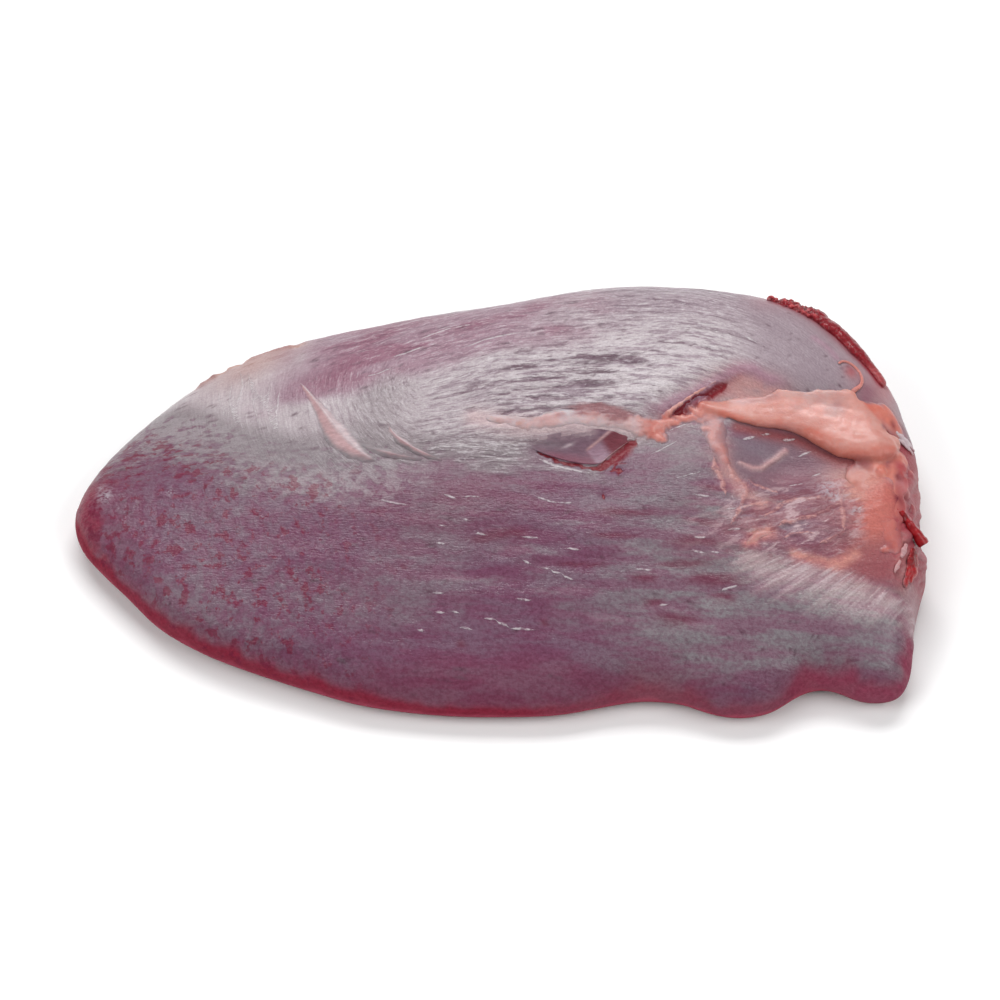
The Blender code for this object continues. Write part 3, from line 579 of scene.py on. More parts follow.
keep(organ, "tone", tone, np.ones(len(X)))
keep(organ, "flow", S, T, Z)
speckled = ease(X, -8, -32) * ease(wavy, 3.5, -3.5)
streaked = np.clip(upper * ease(X, -62, -45), 0, 1) * (1 - 0.7 * ease(X, -22, -31)) * (1 - 0.9 * ease(X, 32, 43))
streaked *= 1 - 0.35 * ease(T, 17, 21) * ease(X, 20, 4)
streaked *= 1 - 0.45 * oval(1.5, -21, 8, 8, 10)
mottled = ease(wavy, 2, -3)
plain = TOP * (1 - 0.85 * calm)
keep(organ, "grain", speckled * plain, streaked * plain, mottled * plain)
# Places with finishes of their own: the lacy edge of the pale area, the furrowed part, the margin.
lacy = ease(UNDER_PALE, -10, -1) * ease(UNDER_PALE, 5.5, 2.5) * ease(X, -4, -20) * TOP * (1 - calm)
furrowed = oval(1.5, 11.5, 12.0, 13.0, 5.4, 6) * (1 - calm)
margin = np.clip(edge_red + mauve_edge + ease(facing[:, 2], 0.1, -0.2), 0, 1)
keep(organ, "places", lacy, furrowed, margin)
# Round marks, each with its size: blotches of pulp, and white spots that are partly painted glints.
BLOTCHES = (
    (-50.7, 5.3, 1.5), (-52.1, 6.7, 0.9), (-56.4, 5.4, 1.4), (-60.2, 3.6, 1.5), (-61.5, -2.7, 2),
    (-60, -8.3, 2), (-55.7, -11.7, 1.8), (-56.8, -6.4, 1.3), (-31.7, -3, 1.2), (-28.2, -4, 1.6),
    (-42, -10.2, 1.1), (-38.9, -12.5, 1.3), (-27.3, -17.5, 1.4), (-29.6, -19.9, 1.6), (-41.9, -21.4, 1),
    (-32.9, -10.3, 1), (-46.6, 0.3, 1.2), (-51, -7, 1.2), (-63, -4.2, 1.8), (-47.9, 1.5, 1.2),
    (-48.7, -11.6, 1.1), (-52.9, -13.4, 1),
)
WHITE_SPOTS_AND_GLINTS = (
    (-60.3, -1.2, 1.2), (-61, 0.4, 0.6), (-50.1, -2.3, 0.5), (49.6, -4.4, 1.7), (50.6, -5.8, 1.2),
    (53.6, -8.8, 0.9),
)
blotch, white_spot_and_glint = (
    np.max([oval(1, x, y, size, size) for x, y, size in marks], axis=0) for marks in (BLOTCHES, WHITE_SPOTS_AND_GLINTS)
)
keep(organ, "marks", blotch, white_spot_and_glint, 0 * X)
keep(organ, "arc", arc_s, arc_r, arcs)
web_share = np.clip(1.8 * webbed, 0, 1) * ease(Y, 0, -4) * ease(X, 56.5, 52.5)
keep(organ, "web", 0.94 * X + 0.34 * Y, 0.94 * Y - 0.34 * X, web_share)
keep(organ, "fan", fan_a * 0.30, fan_r, fan_share)
for name, line in (("dark", dark_line), ("pale", fibre_and_glint_line), ("red", red_line), ("cord", cord_line)):
    keep(organ, name + "_line", line)


def fill(tree, node, inputs):
    """Joins or fills a node's inputs."""
    for socket, value in inputs.items():
        if isinstance(value, bpy.types.NodeSocket):
            tree.links.new(value, node.inputs[socket])
        else:
            node.inputs[socket].default_value = value


def add(tree, kind, inputs=None, **settings):
    """Adds a node, and joins or fills its inputs."""
    made = tree.nodes.new(kind)
    for name, value in settings.items():
        setattr(made, name, value)
    fill(tree, made, inputs or {})
    return made


def new_finish(name):
    """A new material, with its nodes and its shader."""
    made = bpy.data.materials.new(name)
    made.use_nodes = True
    return made, made.node_tree, made.node_tree.nodes["Principled BSDF"]


def read(tree, name, output="Vector"):
    """Values that are kept on the vertices under a name."""
    return add(tree, "ShaderNodeAttribute", attribute_name=name).outputs[output]


def parts(tree, name):
    """The three parts of values that are kept under a name."""
    return add(tree, "ShaderNodeSeparateXYZ", {"Vector": read(tree, name)}).outputs


def noise_on(tree, vector, scale, detail=3.0, rough=0.6, offset=(0, 0, 0)):
    """Random values on stretched coordinates, as a share of 0 to 1."""
    moved = add(tree, "ShaderNodeMapping", {"Vector": vector, "Scale": scale, "Location": offset})
    inputs = {"Vector": moved.outputs[0], "Scale": 1.0, "Detail": detail, "Roughness": rough}
    return add(tree, "ShaderNodeTexNoise", inputs).outputs["Fac"]


def ramp(tree, value, low, high, to_low=0.0, to_high=1.0):
    """A value stretched from one range to another, and held inside it."""
    inputs = {"Value": value, "From Min": low, "From Max": high, "To Min": to_low, "To Max": to_high}
    return add(tree, "ShaderNodeMapRange", inputs, interpolation_type="SMOOTHSTEP").outputs["Result"]


def reckoned(tree, operation, *values):
    """Values worked together in turn."""
    result = values[0]
    for value in values[1:]:
        result = add(tree, "ShaderNodeMath", {0: result, 1: value}, operation=operation).outputs[0]
    return result


def times(tree, *values):
    """Values multiplied together."""
    return reckoned(tree, "MULTIPLY", *values)


def coloured(tree, share, first, second, blend="MIX"):
    """Two colours mixed by a share. Each is a node's output, or its amounts of light."""
    first, second = (c if isinstance(c, bpy.types.NodeSocket) else (*c, 1.0) for c in (first, second))
    inputs = {0: share, 6: first, 7: second}
    return add(tree, "ShaderNodeMix", inputs, data_type="RGBA", blend_type=blend).outputs[2]


def tinted(tree, colour, tint):
    """A colour multiplied by another."""
    return coloured(tree, 1.0, colour, tint, "MULTIPLY")


def overlaid(tree, colour, *films):
    """A colour with others laid over it in turn: each is its share and its colour."""
    for share, over_it in films:
        colour = coloured(tree, share, colour, over_it)
    return colour


def bumped(tree, height, strength, depth):
    """The direction of a surface with fine bumps in it, so many millimetres deep."""
    return add(tree, "ShaderNodeBump", {"Height": height, "Strength": strength, "Distance": depth * MM}).outputs[0]


def line_share(tree, name):
    """1 on the fine lines kept under a name, and 0 off them."""
    side, width, on_line = parts(tree, name)
    away = add(tree, "ShaderNodeMath", {0: side}, operation="ABSOLUTE").outputs[0]
    return times(tree, ramp(tree, reckoned(tree, "DIVIDE", away, width), 1.7, 0.5), on_line)


capsule, tree, shader = new_finish("wet_capsule")
tone_in = read(tree, "tone", "Color")
flow_in, arc_in, fan_in, web_in = (read(tree, name) for name in ("flow", "arc", "fan", "web"))
arc_share, fan_here, web_here = (parts(tree, name)["Z"] for name in ("arc", "fan", "web"))
speckle_share, streak_share, mottle_share = parts(tree, "grain")
lacy_here, furrowed_here, margin_here = parts(tree, "places")
blotch_here, spot_and_glint_here, _ = parts(tree, "marks")
on_dark, on_fibre_and_glint, on_red, on_cord = (line_share(tree, name + "_line") for name in ("dark", "pale", "red", "cord"))


def along_fibres(scale, detail):
    """Random streaks along the straight fibres, and along the arcs where those take over."""
    straight = noise_on(tree, flow_in, scale, detail)
    arched = noise_on(tree, arc_in, (scale[0], scale[1], 0.0), detail)
    return add(tree, "ShaderNodeMix", {0: arc_share, 2: straight, 3: arched}, data_type="FLOAT").outputs[0]


streaks = along_fibres((0.24, 1.55, 0.5), 3.0)
fine_streaks = along_fibres((0.9, 3.4, 1.0), 2.0)
patches = noise_on(tree, flow_in, (0.10, 0.40, 0.0))
blots = noise_on(tree, flow_in, (0.58, 0.52, 0.5))
specks = noise_on(tree, flow_in, (0.62, 0.56, 0.5), offset=(3.0, 1.0, 0.0))
granules = noise_on(tree, flow_in, (1.5, 1.7, 1.6), 2.0, offset=(5.0, 2.0, 1.0))
pores = noise_on(tree, flow_in, (3.0, 3.0, 3.0), 1.0)
gaps = noise_on(tree, flow_in, (0.13, 0.92, 0.0), 2.5, 0.55, (2.0, 5.0, 0.0))
lace = noise_on(tree, flow_in, (0.60, 0.62, 0.5), offset=(1.0, 8.0, 2.0))
ribs = noise_on(tree, fan_in, (3.4, 0.13, 0.0), 2.5, 0.55)
wisps = noise_on(tree, web_in, (0.22, 0.62, 0.0), 3.0, 0.62, (9.0, 4.0, 0.0))

# Mottling of the pulp, redder and greyer, and the streaks of the pale area.
redder, greyer = tinted(tree, tone_in, (1.00, 0.74, 0.88)), tinted(tree, tone_in, (1.03, 1.26, 1.16))
banded = coloured(tree, ramp(tree, patches, 0.40, 0.60), redder, greyer)
blotted = coloured(tree, ramp(tree, blots, 0.38, 0.60), redder, greyer)
colour = coloured(tree, times(tree, mottle_share, 0.85), tone_in, coloured(tree, speckle_share, banded, blotted))
darker, lighter = tinted(tree, colour, (0.64, 0.55, 0.61)), tinted(tree, colour, (1.13, 1.14, 1.14))
streaky = coloured(tree, ramp(tree, streaks, 0.36, 0.52), darker, lighter)
colour = coloured(tree, times(tree, streak_share, 0.85), colour, streaky)

GAP_SHADE_MAUVE = light(116, 92, 106)
GLINT_WHITE = light(208, 200, 204)
FINE_GLINT_WHITE = light(206, 197, 202)
FINE_MAUVE = light(118, 98, 110)
LACE_GREY = light(148, 138, 142)
LACE_PURPLE = light(114, 76, 98)
SPECK_RED = light(108, 22, 52)
gap = times(tree, ramp(tree, gaps, 0.475, 0.405), furrowed_here)
laced = reckoned(tree, "ADD", times(tree, lacy_here, 0.16), lace)
speckled_by = reckoned(tree, "ADD", times(tree, blotch_here, 0.11), specks)
colour = overlaid(
    tree, colour,
    # painted shade in the sunk gaps of the furrowed part
    (times(tree, gap, 0.6), GAP_SHADE_MAUVE),
    # painted highlights: glints and fine pale lines along the streaks of the roll
    (times(tree, ramp(tree, streaks, 0.585, 0.66), streak_share, 0.45), GLINT_WHITE),
    (times(tree, ramp(tree, fine_streaks, 0.53, 0.66), streak_share, 0.4), FINE_GLINT_WHITE),
    (times(tree, ramp(tree, fine_streaks, 0.46, 0.34), streak_share, 0.35), FINE_MAUVE),
    (times(tree, ramp(tree, laced, 0.54, 0.70), lacy_here, 0.7), LACE_GREY),
    (times(tree, ramp(tree, lace, 0.47, 0.36), lacy_here, 0.7), LACE_PURPLE),
    (times(tree, ramp(tree, speckled_by, 0.55, 0.65), speckle_share, 0.75), SPECK_RED),
)
grit = coloured(tree, ramp(tree, granules, 0.34, 0.62), (0.84, 0.66, 0.74), (1.06, 1.10, 1.08))
colour = coloured(tree, times(tree, mottle_share, 0.8), colour, tinted(tree, colour, grit))

RIB_PALE = light(188, 170, 174)
RIB_DARK = light(124, 92, 103)
FURROW_SHADE = light(98, 68, 84)
BLOOD_RED = light(116, 10, 26)
CORD_TAN = light(182, 130, 126)
FIBRE_AND_GLINT_WHITE = light(205, 198, 201)
WISP_PALE = light(182, 154, 158)
WISP_RED = light(116, 62, 74)
SPOT_AND_GLINT_WHITE = light(172, 162, 170)
uneven = ramp(tree, streaks, 0.62, 0.44, 0.2, 1.0)
broken = ramp(tree, granules, 0.34, 0.56, 0.25, 1.0)
white_and_glint_here = times(tree, spot_and_glint_here, ramp(tree, granules, 0.36, 0.60), 0.7)
colour = overlaid(
    tree, colour,
    (times(tree, fan_here, ramp(tree, ribs, 0.44, 0.66), 0.6), RIB_PALE),
    (times(tree, fan_here, ramp(tree, ribs, 0.46, 0.32), 0.4), RIB_DARK),
    # painted shade along the furrows
    (times(tree, on_dark, uneven, 0.55), FURROW_SHADE),
    (times(tree, on_red, 0.9), BLOOD_RED),
    (times(tree, on_cord, broken, 0.75), CORD_TAN),
    # pale fibres, and painted glints
    (times(tree, on_fibre_and_glint, broken, 0.6), FIBRE_AND_GLINT_WHITE),
    (times(tree, web_here, ramp(tree, wisps, 0.53, 0.63), 0.75), WISP_PALE),
    (times(tree, web_here, ramp(tree, wisps, 0.48, 0.40), 0.65), WISP_RED),
    # white spots, partly painted glints
    (white_and_glint_here, SPOT_AND_GLINT_WHITE),
)
fine_shade = coloured(tree, ramp(tree, pores, 0.3, 0.7), (0.92, 0.91, 0.92), (1.07, 1.08, 1.07))
height = reckoned(
    tree, "ADD",
    times(tree, streaks, streak_share, 2.0), times(tree, fine_streaks, 0.5), times(tree, pores, 0.15),
    times(tree, granules, 0.4), times(tree, gap, -0.6), times(tree, lace, lacy_here, 0.8),
    times(tree, blots, speckle_share, 0.8), times(tree, on_dark, uneven, -0.5), times(tree, on_fibre_and_glint, 0.5),
    times(tree, on_red, -0.6), times(tree, ribs, fan_here), times(tree, wisps, web_here, 2.0),
    times(tree, white_and_glint_here, 0.5),
)
wet_relief = bumped(tree, height, 0.7, 0.25)
fill(tree, shader, {
    "Base Color": tinted(tree, colour, fine_shade), "Normal": wet_relief, "Coat Normal": wet_relief,
    "Roughness": ramp(tree, margin_here, 0.0, 1.0, 0.45, 0.85),
    "Coat Weight": ramp(tree, margin_here, 0.0, 1.0, 0.25, 0.02),
    "Coat Roughness": 0.14, "Specular IOR Level": 0.15,
})
organ.data.materials.append(capsule)
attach(organ, "root")
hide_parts("spleen_body")

# The fat of the hilum: one soft, pale pink body of fat, from the thick tongue over the hollow to
# the lump at the blunt end, the strand round the hollow and the thin strip along the crease. It
# grows on the organ, so its underside is sunk a little into the skin.
form = BVHTree.FromPolygons(
    [Vector(row) * MM for row in place], [list(polygon.vertices) for polygon in organ.data.polygons]
)
ABOVE = 60.0 * MM


def on_form(x, y):
    """The point of the organ above a place in plan, and which way the skin faces there."""
    hit, normal, *_ = form.ray_cast(Vector((x * MM, y * MM, ABOVE)), Vector((0, 0, -1)))
    if hit is None:
        hit, normal, *_ = form.find_nearest(Vector((x, y, 8.0)) * MM)
    return hit, normal


def lump(bm, x, y, half, lift=0.0, turn=0.0):
    """Adds an oval lump on the organ. half is its half length, half width and half height."""
    middle, up = on_form(x, y)
    ahead = Vector((math.cos(math.radians(turn)), math.sin(math.radians(turn)), 0.0))
    ahead = (ahead - up * ahead.dot(up)).normalized()
    left = up.cross(ahead)
    axes = Matrix((ahead * half[0], left * half[1], up * half[2])).transposed().to_4x4() @ Matrix.Scale(MM, 4)
    shape = Matrix.Translation(middle + up * (lift * MM)) @ axes
    bmesh.ops.create_icosphere(bm, subdivisions=2, radius=1.0, matrix=shape)


def pat(bm, x, y, half_length, half_width, rise, turn=0.0):
    """Adds a low rounded cap on the organ, with shallow edges."""
    lump(bm, x, y, (half_length / 0.8, half_width / 0.8, 2.5 * rise), -1.5 * rise, turn)


def run_of(line):
    """How far along a plan line each of its points is."""
    return np.concatenate([[0.0], np.cumsum([math.dist(p, q) for p, q in zip(line, line[1:])])])


def stroke(bm, line, widths, rises, free=None, step=0.5):
    """Lays a row of low caps along a plan line, or of round lumps that are lifted by free."""
    run = run_of(line)
    shares = np.linspace(0.0, 1.0, max(2, int(run[-1] / step)))
    xs, ys = (np.interp(shares * run[-1], run, [p[axis] for p in line]) for axis in (0, 1))
    half_widths, highs = (np.interp(shares, np.linspace(0, 1, len(rows)), rows) for rows in (widths, rises))
    turns = np.degrees(np.arctan2(np.gradient(ys), np.gradient(xs)))
    for x, y, half_width, high, turn in zip(xs, ys, half_widths, highs, turns):
        if free is None:
            pat(bm, x, y, max(1.4 * step, half_width), half_width, high, turn)
        else:
            lump(bm, x, y, (max(step, 0.9 * half_width), half_width, high), free, turn)


def joined(name, bm, voxel, passes):
    """Makes one continuous body of the lumps in a bmesh, and smooths it."""
    piece = to_object(name, bm)
    skin = piece.modifiers.new("skin", "REMESH")
    skin.mode, skin.voxel_size = "VOXEL", voxel * MM
    rub = piece.modifiers.new("rub", "SMOOTH")
    rub.factor, rub.iterations = 0.5, passes
    harden(piece)
    piece.data.shade_smooth()
    return piece


def unevenness(rows, size, shift=0.0):
    """Smooth random values at places given as rows, with features about one size wide."""
    return np.array([noise.noise(Vector(row) / size + Vector((shift, 0, 0))) for row in rows])


def roughened(piece, height, size, seed):
    """Moves a mesh in and out by a random height at a random size, both in millimetres."""
    co, out = numbers(piece), numbers(piece, "normal")
    reshape(piece, co + out * (unevenness(co, size * MM, seed) * height * MM)[:, None])


TONGUE_NEAR = (
    (30.8, 8.6), (33.5, 7.6), (36.5, 6.4), (39.4, 5.9), (42.3, 5.8), (44.6, 5.4), (46.7, 4.5), (48.9, 3),
    (51.5, 1.4), (54.7, 0.6), (57.6, 0.7), (60, 2.2),
)
TONGUE_FAR = (
    (31.2, 9.2), (33.2, 9.7), (35.3, 10.2), (37.9, 10.3), (40.3, 10.5), (42.4, 11.5), (45.3, 11.3),
    (47.6, 11.2), (50, 11.5), (52.9, 11.2), (54.9, 9.9), (56.6, 7.6),
)
TONGUE_DEPTH = ((0, 0.5), (0.2, 0.7), (0.45, 0.95), (0.75, 1.4), (0.9, 1.35), (1, 1.0))
TONGUE_STEPS = 4 * (len(TONGUE_NEAR) - 1)
fat_bm = bmesh.new()
for k in range(TONGUE_STEPS + 1):
    share = k / TONGUE_STEPS
    index = share * (len(TONGUE_NEAR) - 1)
    low = int(min(index, len(TONGUE_NEAR) - 2))
    near, far = (
        np.array(edge[low]) + (index - low) * (np.array(edge[low + 1]) - edge[low])
        for edge in (TONGUE_NEAR, TONGUE_FAR)
    )
    depth = height_of(share, TONGUE_DEPTH)
    reach = max(0.6, 0.27 * float(np.linalg.norm(far - near)))
    turn = math.degrees(math.atan2(*(far - near)[::-1]))
    for across, high in ((0.22, 1.0), (0.40, 0.9), (0.60, 0.7), (0.80, 0.45)):
        x, y = near + across * (far - near)
        lump(fat_bm, x, y, (reach, 1.0, high * depth), 0.45 * high * depth, turn)
# its blunt tip, and the nodules beside it
for x, y, half, lift, turn in (
    (57.2, 3.2, (3.4, 2.5, 1.5), 0.4, -14), (55.2, 3, (3.2, 2.5, 1.5), 0.4, -18),
    (59.2, 3.9, (2, 1.6, 1.1), 0.25, 20), (52.8, 10.6, (1.8, 1.4, 0.7), 0.1, 0),
    (48.4, 10.8, (1.5, 1.2, 0.5), 0, 0), (57.8, -1.6, (1, 1.1, 0.6), 0.25, 10),
):
    lump(fat_bm, x, y, half, lift, turn)
# the patch behind the tip, and the low mass below it
for low_mass in (
    (57, 9, 2.4, 1.2, 0.3, -20), (59.4, 8.3, 2.6, 1.6, 0.3, -50), (60.8, 6.8, 2, 1.4, 0.4, -60),
    (58, 8.4, 2.2, 1.4, 0.3, -40), (61, 2, 1.8, 1.6, 0.5, 0), (58.4, 0.2, 3.2, 2.2, 0.22, -6),
    (57.2, -2.6, 4.2, 3, 0.24, -12), (57.6, -6, 4.2, 3, 0.36, -56), (57.8, -9.4, 3.6, 2.2, 0.4, -66),
    (58.8, -12.6, 2.4, 1.6, 0.3, -70), (61.4, -1.2, 1.6, 1.5, 0.35, 0), (57.8, -14.6, 1.2, 0.8, 0.4, 10),
    (59.2, -2.6, 1.2, 1.1, 0.6, 20), (61.4, -3.7, 1.2, 1.3, 0.6, 0), (62.6, -5.6, 1.1, 1.2, 0.5, 0),
    (62.6, 0.3, 0.9, 1.3, 0.6, 0), (61.9, -8.2, 1, 1, 0.5, 0),
):
    pat(fat_bm, *low_mass)
# the film round the hollow, the fold in it, and the shreds at its foot; then the strip along the
# crease, its lump, and the two cords that run up from it to the tongue
for line, widths, rises in (
    (((30.6, 8.6), (31.8, 6), (32.8, 3.4), (33.6, 0.6), (34.6, -2.4)),
     (2.6, 2.3, 1.7, 1.2, 0.8), (0.26, 0.22, 0.22, 0.2, 0.16)),
    (((33.6, 1.4), (34.2, -1.1), (35.4, -3.2), (36.8, -4.8), (38, -6)),
     (0.5, 0.6, 0.5, 0.4, 0.3), (0.3, 0.4, 0.32, 0.24, 0.14)),
    (((37.3, -14.4), (38.8, -13.1), (40.6, -12.7)), (0.6, 0.9, 0.6), (0.2, 0.45, 0.25)),
    (((-1.6, 6.3), (1.8, 5.6), (4.4, 5), (6.8, 5.3), (9.1, 5.7), (11.7, 5.8), (14.3, 5.4), (17.6, 4.9),
     (20.2, 4.8)),
     (0.6, 1.0, 1.2, 1.3, 1.3, 1.5), (0.14, 0.24, 0.3, 0.34, 0.36)),
    (((19.6, 5), (22, 4.8), (23.8, 4), (24.6, 3.2)), (1.7, 2.1, 1.9, 1.2), (0.4, 0.5, 0.6, 0.45)),
    (((23.6, 5), (25.6, 5.8), (27.6, 6.3), (29.6, 7.1), (31.6, 8.4)), (1.7, 1.2, 0.9, 1.2), (0.45, 0.4, 0.4, 0.45)),
):
    stroke(fat_bm, line, widths, rises)
UPPER_CORD = ((24.8, 6.8), (27.4, 8.9), (29.4, 10.3), (31.2, 11.4), (32.8, 12.3))
stroke(fat_bm, UPPER_CORD, (0.5, 0.36, 0.36, 0.3), (0.5, 0.5, 0.5, 0.35), None, 0.3)
FAT_VOXEL = 0.26
fat = joined("hilum_fat_body", fat_bm, FAT_VOXEL, 6)
roughened(fat, 0.16, 3.0, 3.0)
roughened(fat, 0.05, 1.0, 9.0)
# the strip, the cords and the strand are granular
fat_place, fat_out = numbers(fat), numbers(fat, "normal")
fat_x = fat_place[:, 0] / MM
granular = ease(fat_x, 33.0, 29.0) * ease(fat_x, 18.0, 22.0) + 0.3 * ease(fat_x, 21.0, 18.0)
grains_up = unevenness(fat_place, 0.9 * MM) + 0.5 * unevenness(fat_place, 0.45 * MM)
reshape(fat, fat_place + fat_out * (0.2 * grains_up * granular * MM)[:, None])

PINK_FAT = light(190, 134, 124)
PALE_FAT = light(216, 164, 156)
SALMON_FAT = light(190, 114, 100)
FAR_FAT = light(186, 148, 144)
DEEP_FAT = light(179, 98, 90)
SHOULDER_FAT = light(194, 102, 84)
STRAND_PINK = light(176, 122, 118)
STRIP_TAN = light(200, 170, 170)
RUSTY_CREASE_SHADE = light(146, 84, 82)
GRANULAR_ORANGE = light(186, 114, 104)
CORD_PINK = light(196, 142, 134)
STAIN_RED = light(150, 66, 66)
SHOULDER_EDGE = ((50, 13), (53.2, 10.8), (56, 8.9), (57.6, 7.2), (60.3, 6))
fat_x, fat_y, _ = numbers(fat).T / MM
near_y, far_y = height_of(fat_x, TONGUE_NEAR), height_of(fat_x, TONGUE_FAR)
over = np.clip((fat_y - near_y) / np.maximum(far_y - near_y, 0.5), -1, 2)
fat_cloud = grain(fat_x / 3.0, fat_y / 2.0, 71, 3)
behind = fat_y - height_of(fat_x, SHOULDER_EDGE)
lit = 0.75 * spot(fat_x, fat_y, (52.4, 6.4), (4.2, 2.6), -20) + 0.7 * spot(fat_x, fat_y, (46, 9.4), (6.5, 2.4), -4)
fat_tone = laid(
    np.tile(PINK_FAT, (len(fat_x), 1)),
    (PALE_FAT, np.clip(lit, 0, 1)),
    (FAR_FAT, 0.8 * ease(over + 0.2 * fat_cloud, 0.5, 0.8) * ease(fat_x, 42, 45) * ease(fat_x, 54, 51)),
    (SALMON_FAT, ease(over + 0.12 * fat_cloud, 0.24, -0.02) * ease(fat_x, 30, 34)),
    (SHOULDER_FAT, 0.8 * ease(behind + 0.3 * fat_cloud, 0.0, 0.8) * ease(fat_x, 53, 55)),
    (SALMON_FAT, 0.8 * ease(fat_y, 0.6, -1.2) * ease(fat_x, 48, 52)),
    (DEEP_FAT, ease(fat_y + fat_cloud, -3.0, -7.0) * ease(fat_x, 52, 56)),
    (DEEP_FAT, 0.7 * spot(fat_x, fat_y, (60.8, 0.6), (2.6, 1.6))),
    # painted shade in the crevices of the fat
    (CREVICE_SHADE, 0.8 * spot(fat_x, fat_y, (58.5, 6.4), (0.4, 0.7), 10)),
    (CREVICE_SHADE, 0.8 * spot(fat_x, fat_y, (60.0, 7.4), (0.4, 0.7), 10)),
    (STRAND_PINK, ease(fat_x, 47, 43) * ease(fat_y, 6.6, 4.6)),
    (STRAND_PINK, ease(fat_x, 56, 52) * ease(fat_y, -9, -11)),
    (STRIP_TAN, ease(fat_x, 25, 21)),
    # painted shade along the strip's upper edge, in the crease
    (RUSTY_CREASE_SHADE, 0.8 * ease(fat_x, 5, 10) * ease(fat_x, 23, 20) * ease(fat_y + 0.5 * fat_cloud, 4.9, 6.0)),
    (TAN, 0.7 * ease(fat_x, 5, 2)),
    (GRANULAR_ORANGE, ease(fat_x, 20, 23.5) * ease(fat_x, 33, 30)),
    (CORD_PINK, ease(fat_x, 24, 26) * ease(fat_x, 34, 33) * ease(fat_y - 0.55 * fat_x, -7.3, -6.7)),
    (CORD_PINK, 0.6 * ease(grains_up, 0.1, 0.5) * ease(fat_x, 33, 30) * ease(fat_x, 19, 22)),
    (ROOT_PINK, 0.9 * ease(fat_x, 34.0, 36.5) * ease(fat_x, 43.5, 41.0) * ease(fat_y + 0.5 * fat_cloud, 8.6, 10.2)),
    (BROWNISH, 0.6 * spot(fat_x, fat_y, (51.2, 8.8), (0.9, 0.9))),
    (STAIN_RED, 0.6 * spot(fat_x, fat_y, (35.0, -3.4), (1.2, 2.4), 30)),
)


def settled(piece, rows, low, high, uneven=0.1, also=0.0):
    """Keeps a piece's tones, turned into those of the skin beneath where it is thin, or by also."""
    skin, height = [], []
    for row in numbers(piece):
        hit, normal, index, _ = form.find_nearest(Vector(row))
        skin.append(organ.data.polygons[index].vertices[0])
        height.append((Vector(row) - hit).dot(normal) / MM + uneven * noise.noise(Vector(row) / (0.9 * MM)))
    rows = laid(rows, (tone[skin], np.maximum(ease(np.array(height), high, low), also)))
    keep(piece, "tone", rows, np.ones(len(rows)))


skinned = ease(fat_x + 0.8 * fat_cloud, 58.0, 55.0) * ease(fat_y, 1.2, -0.4) * ease(fat_x, 49, 51)
skinned = np.maximum(skinned, 0.9 * ease(fat_x + 0.4 * fat_cloud, 59.4, 60.4) * ease(fat_y, 1.6, 0.4))
settled(fat, fat_tone, 0.06, 0.34, 0.08, skinned)

soft_fat, tree, shader = new_finish("soft_fat")
by_place = add(tree, "ShaderNodeTexCoord").outputs["Object"]
blush = noise_on(tree, by_place, (420, 520, 420), 4.0, 0.55)
lobules = noise_on(tree, by_place, (1500, 1500, 1500))
tone_in = read(tree, "tone", "Color")
redder, paler = tinted(tree, tone_in, (0.98, 0.88, 0.87)), tinted(tree, tone_in, (1.04, 1.08, 1.10))
fill(tree, shader, {
    "Base Color": coloured(tree, ramp(tree, blush, 0.35, 0.65), redder, paler),
    "Normal": bumped(tree, reckoned(tree, "ADD", blush, times(tree, lobules, 0.5)), 0.35, 0.4),
    "Roughness": 0.42, "Specular IOR Level": 0.35, "Coat Weight": 0.2, "Coat Roughness": 0.2,
    "Subsurface Weight": 0.35, "Subsurface Radius": (1.0, 0.45, 0.3), "Subsurface Scale": 1.5 * MM,
})
fat.data.materials.append(soft_fat)
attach(fat, "root")
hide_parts("fat_tongue", "hilum_fat", "shoulder_fat", "fat_tag", "fat_strip", "hilum_strand")

# The folds of membrane on the left of the roll: thin wet films pinched up off the capsule. Each is
# laid between its near and far foot, steep and pink on its near side, pale and flatter behind, and
# painted with a highlight along its crest.


def point_on(line, share):
    """The point at a share of a plan line's length."""
    run = run_of(line)
    return np.array([np.interp(share * run[-1], run, [p[axis] for p in line]) for axis in (0, 1)])


def film(bm, near, far, height_at, columns, rows, thick=0.5):
    """Adds a closed film laid on the organ. height_at takes the shares along it and across it."""
    near, far = rounded(near), rounded(far)
    layers = [bm.verts.layers.float.get(name) or bm.verts.layers.float.new(name) for name in ("along", "across")]
    grid = bmesh.ops.create_grid(bm, x_segments=columns, y_segments=rows, size=1.0)["verts"]
    for vertex in grid:
        along, across = (vertex.co.x + 1) / 2, (vertex.co.y + 1) / 2
        x, y = (1 - across) * point_on(near, along) + across * point_on(far, along)
        point, up = on_form(x, y)
        vertex.co = point + up * (height_at(along, across) * MM)
        vertex[layers[0]], vertex[layers[1]] = along, across
    faces = list(dict.fromkeys(face for vertex in grid for face in vertex.link_faces))
    below = bmesh.ops.extrude_face_region(bm, geom=faces)["geom"]
    for vertex in (v for v in below if isinstance(v, bmesh.types.BMVert)):
        _, up = on_form(vertex.co.x / MM, vertex.co.y / MM)
        vertex.co -= up * (thick * MM)
    bmesh.ops.recalc_face_normals(bm, faces=bm.faces)


def shares_kept(piece, name):
    """The shares along or across a film, as kept on its vertices."""
    flat = np.empty(len(piece.data.vertices))
    piece.data.attributes[name].data.foreach_get("value", flat)
    return flat


def pinched(peak, crest):
    """The height of a fold: steep up to its crest, and falling more gently behind it."""
    def height_at(along, across):
        ends = math.sin(math.pi * min(max(along, 0.0), 1.0) ** 1.2) ** 1.1
        rise = across / crest if across < crest else ((1 - across) / (1 - crest)) ** 1.5
        return peak * ends * max(rise, 0.0) ** 0.8 - 0.12
    return height_at


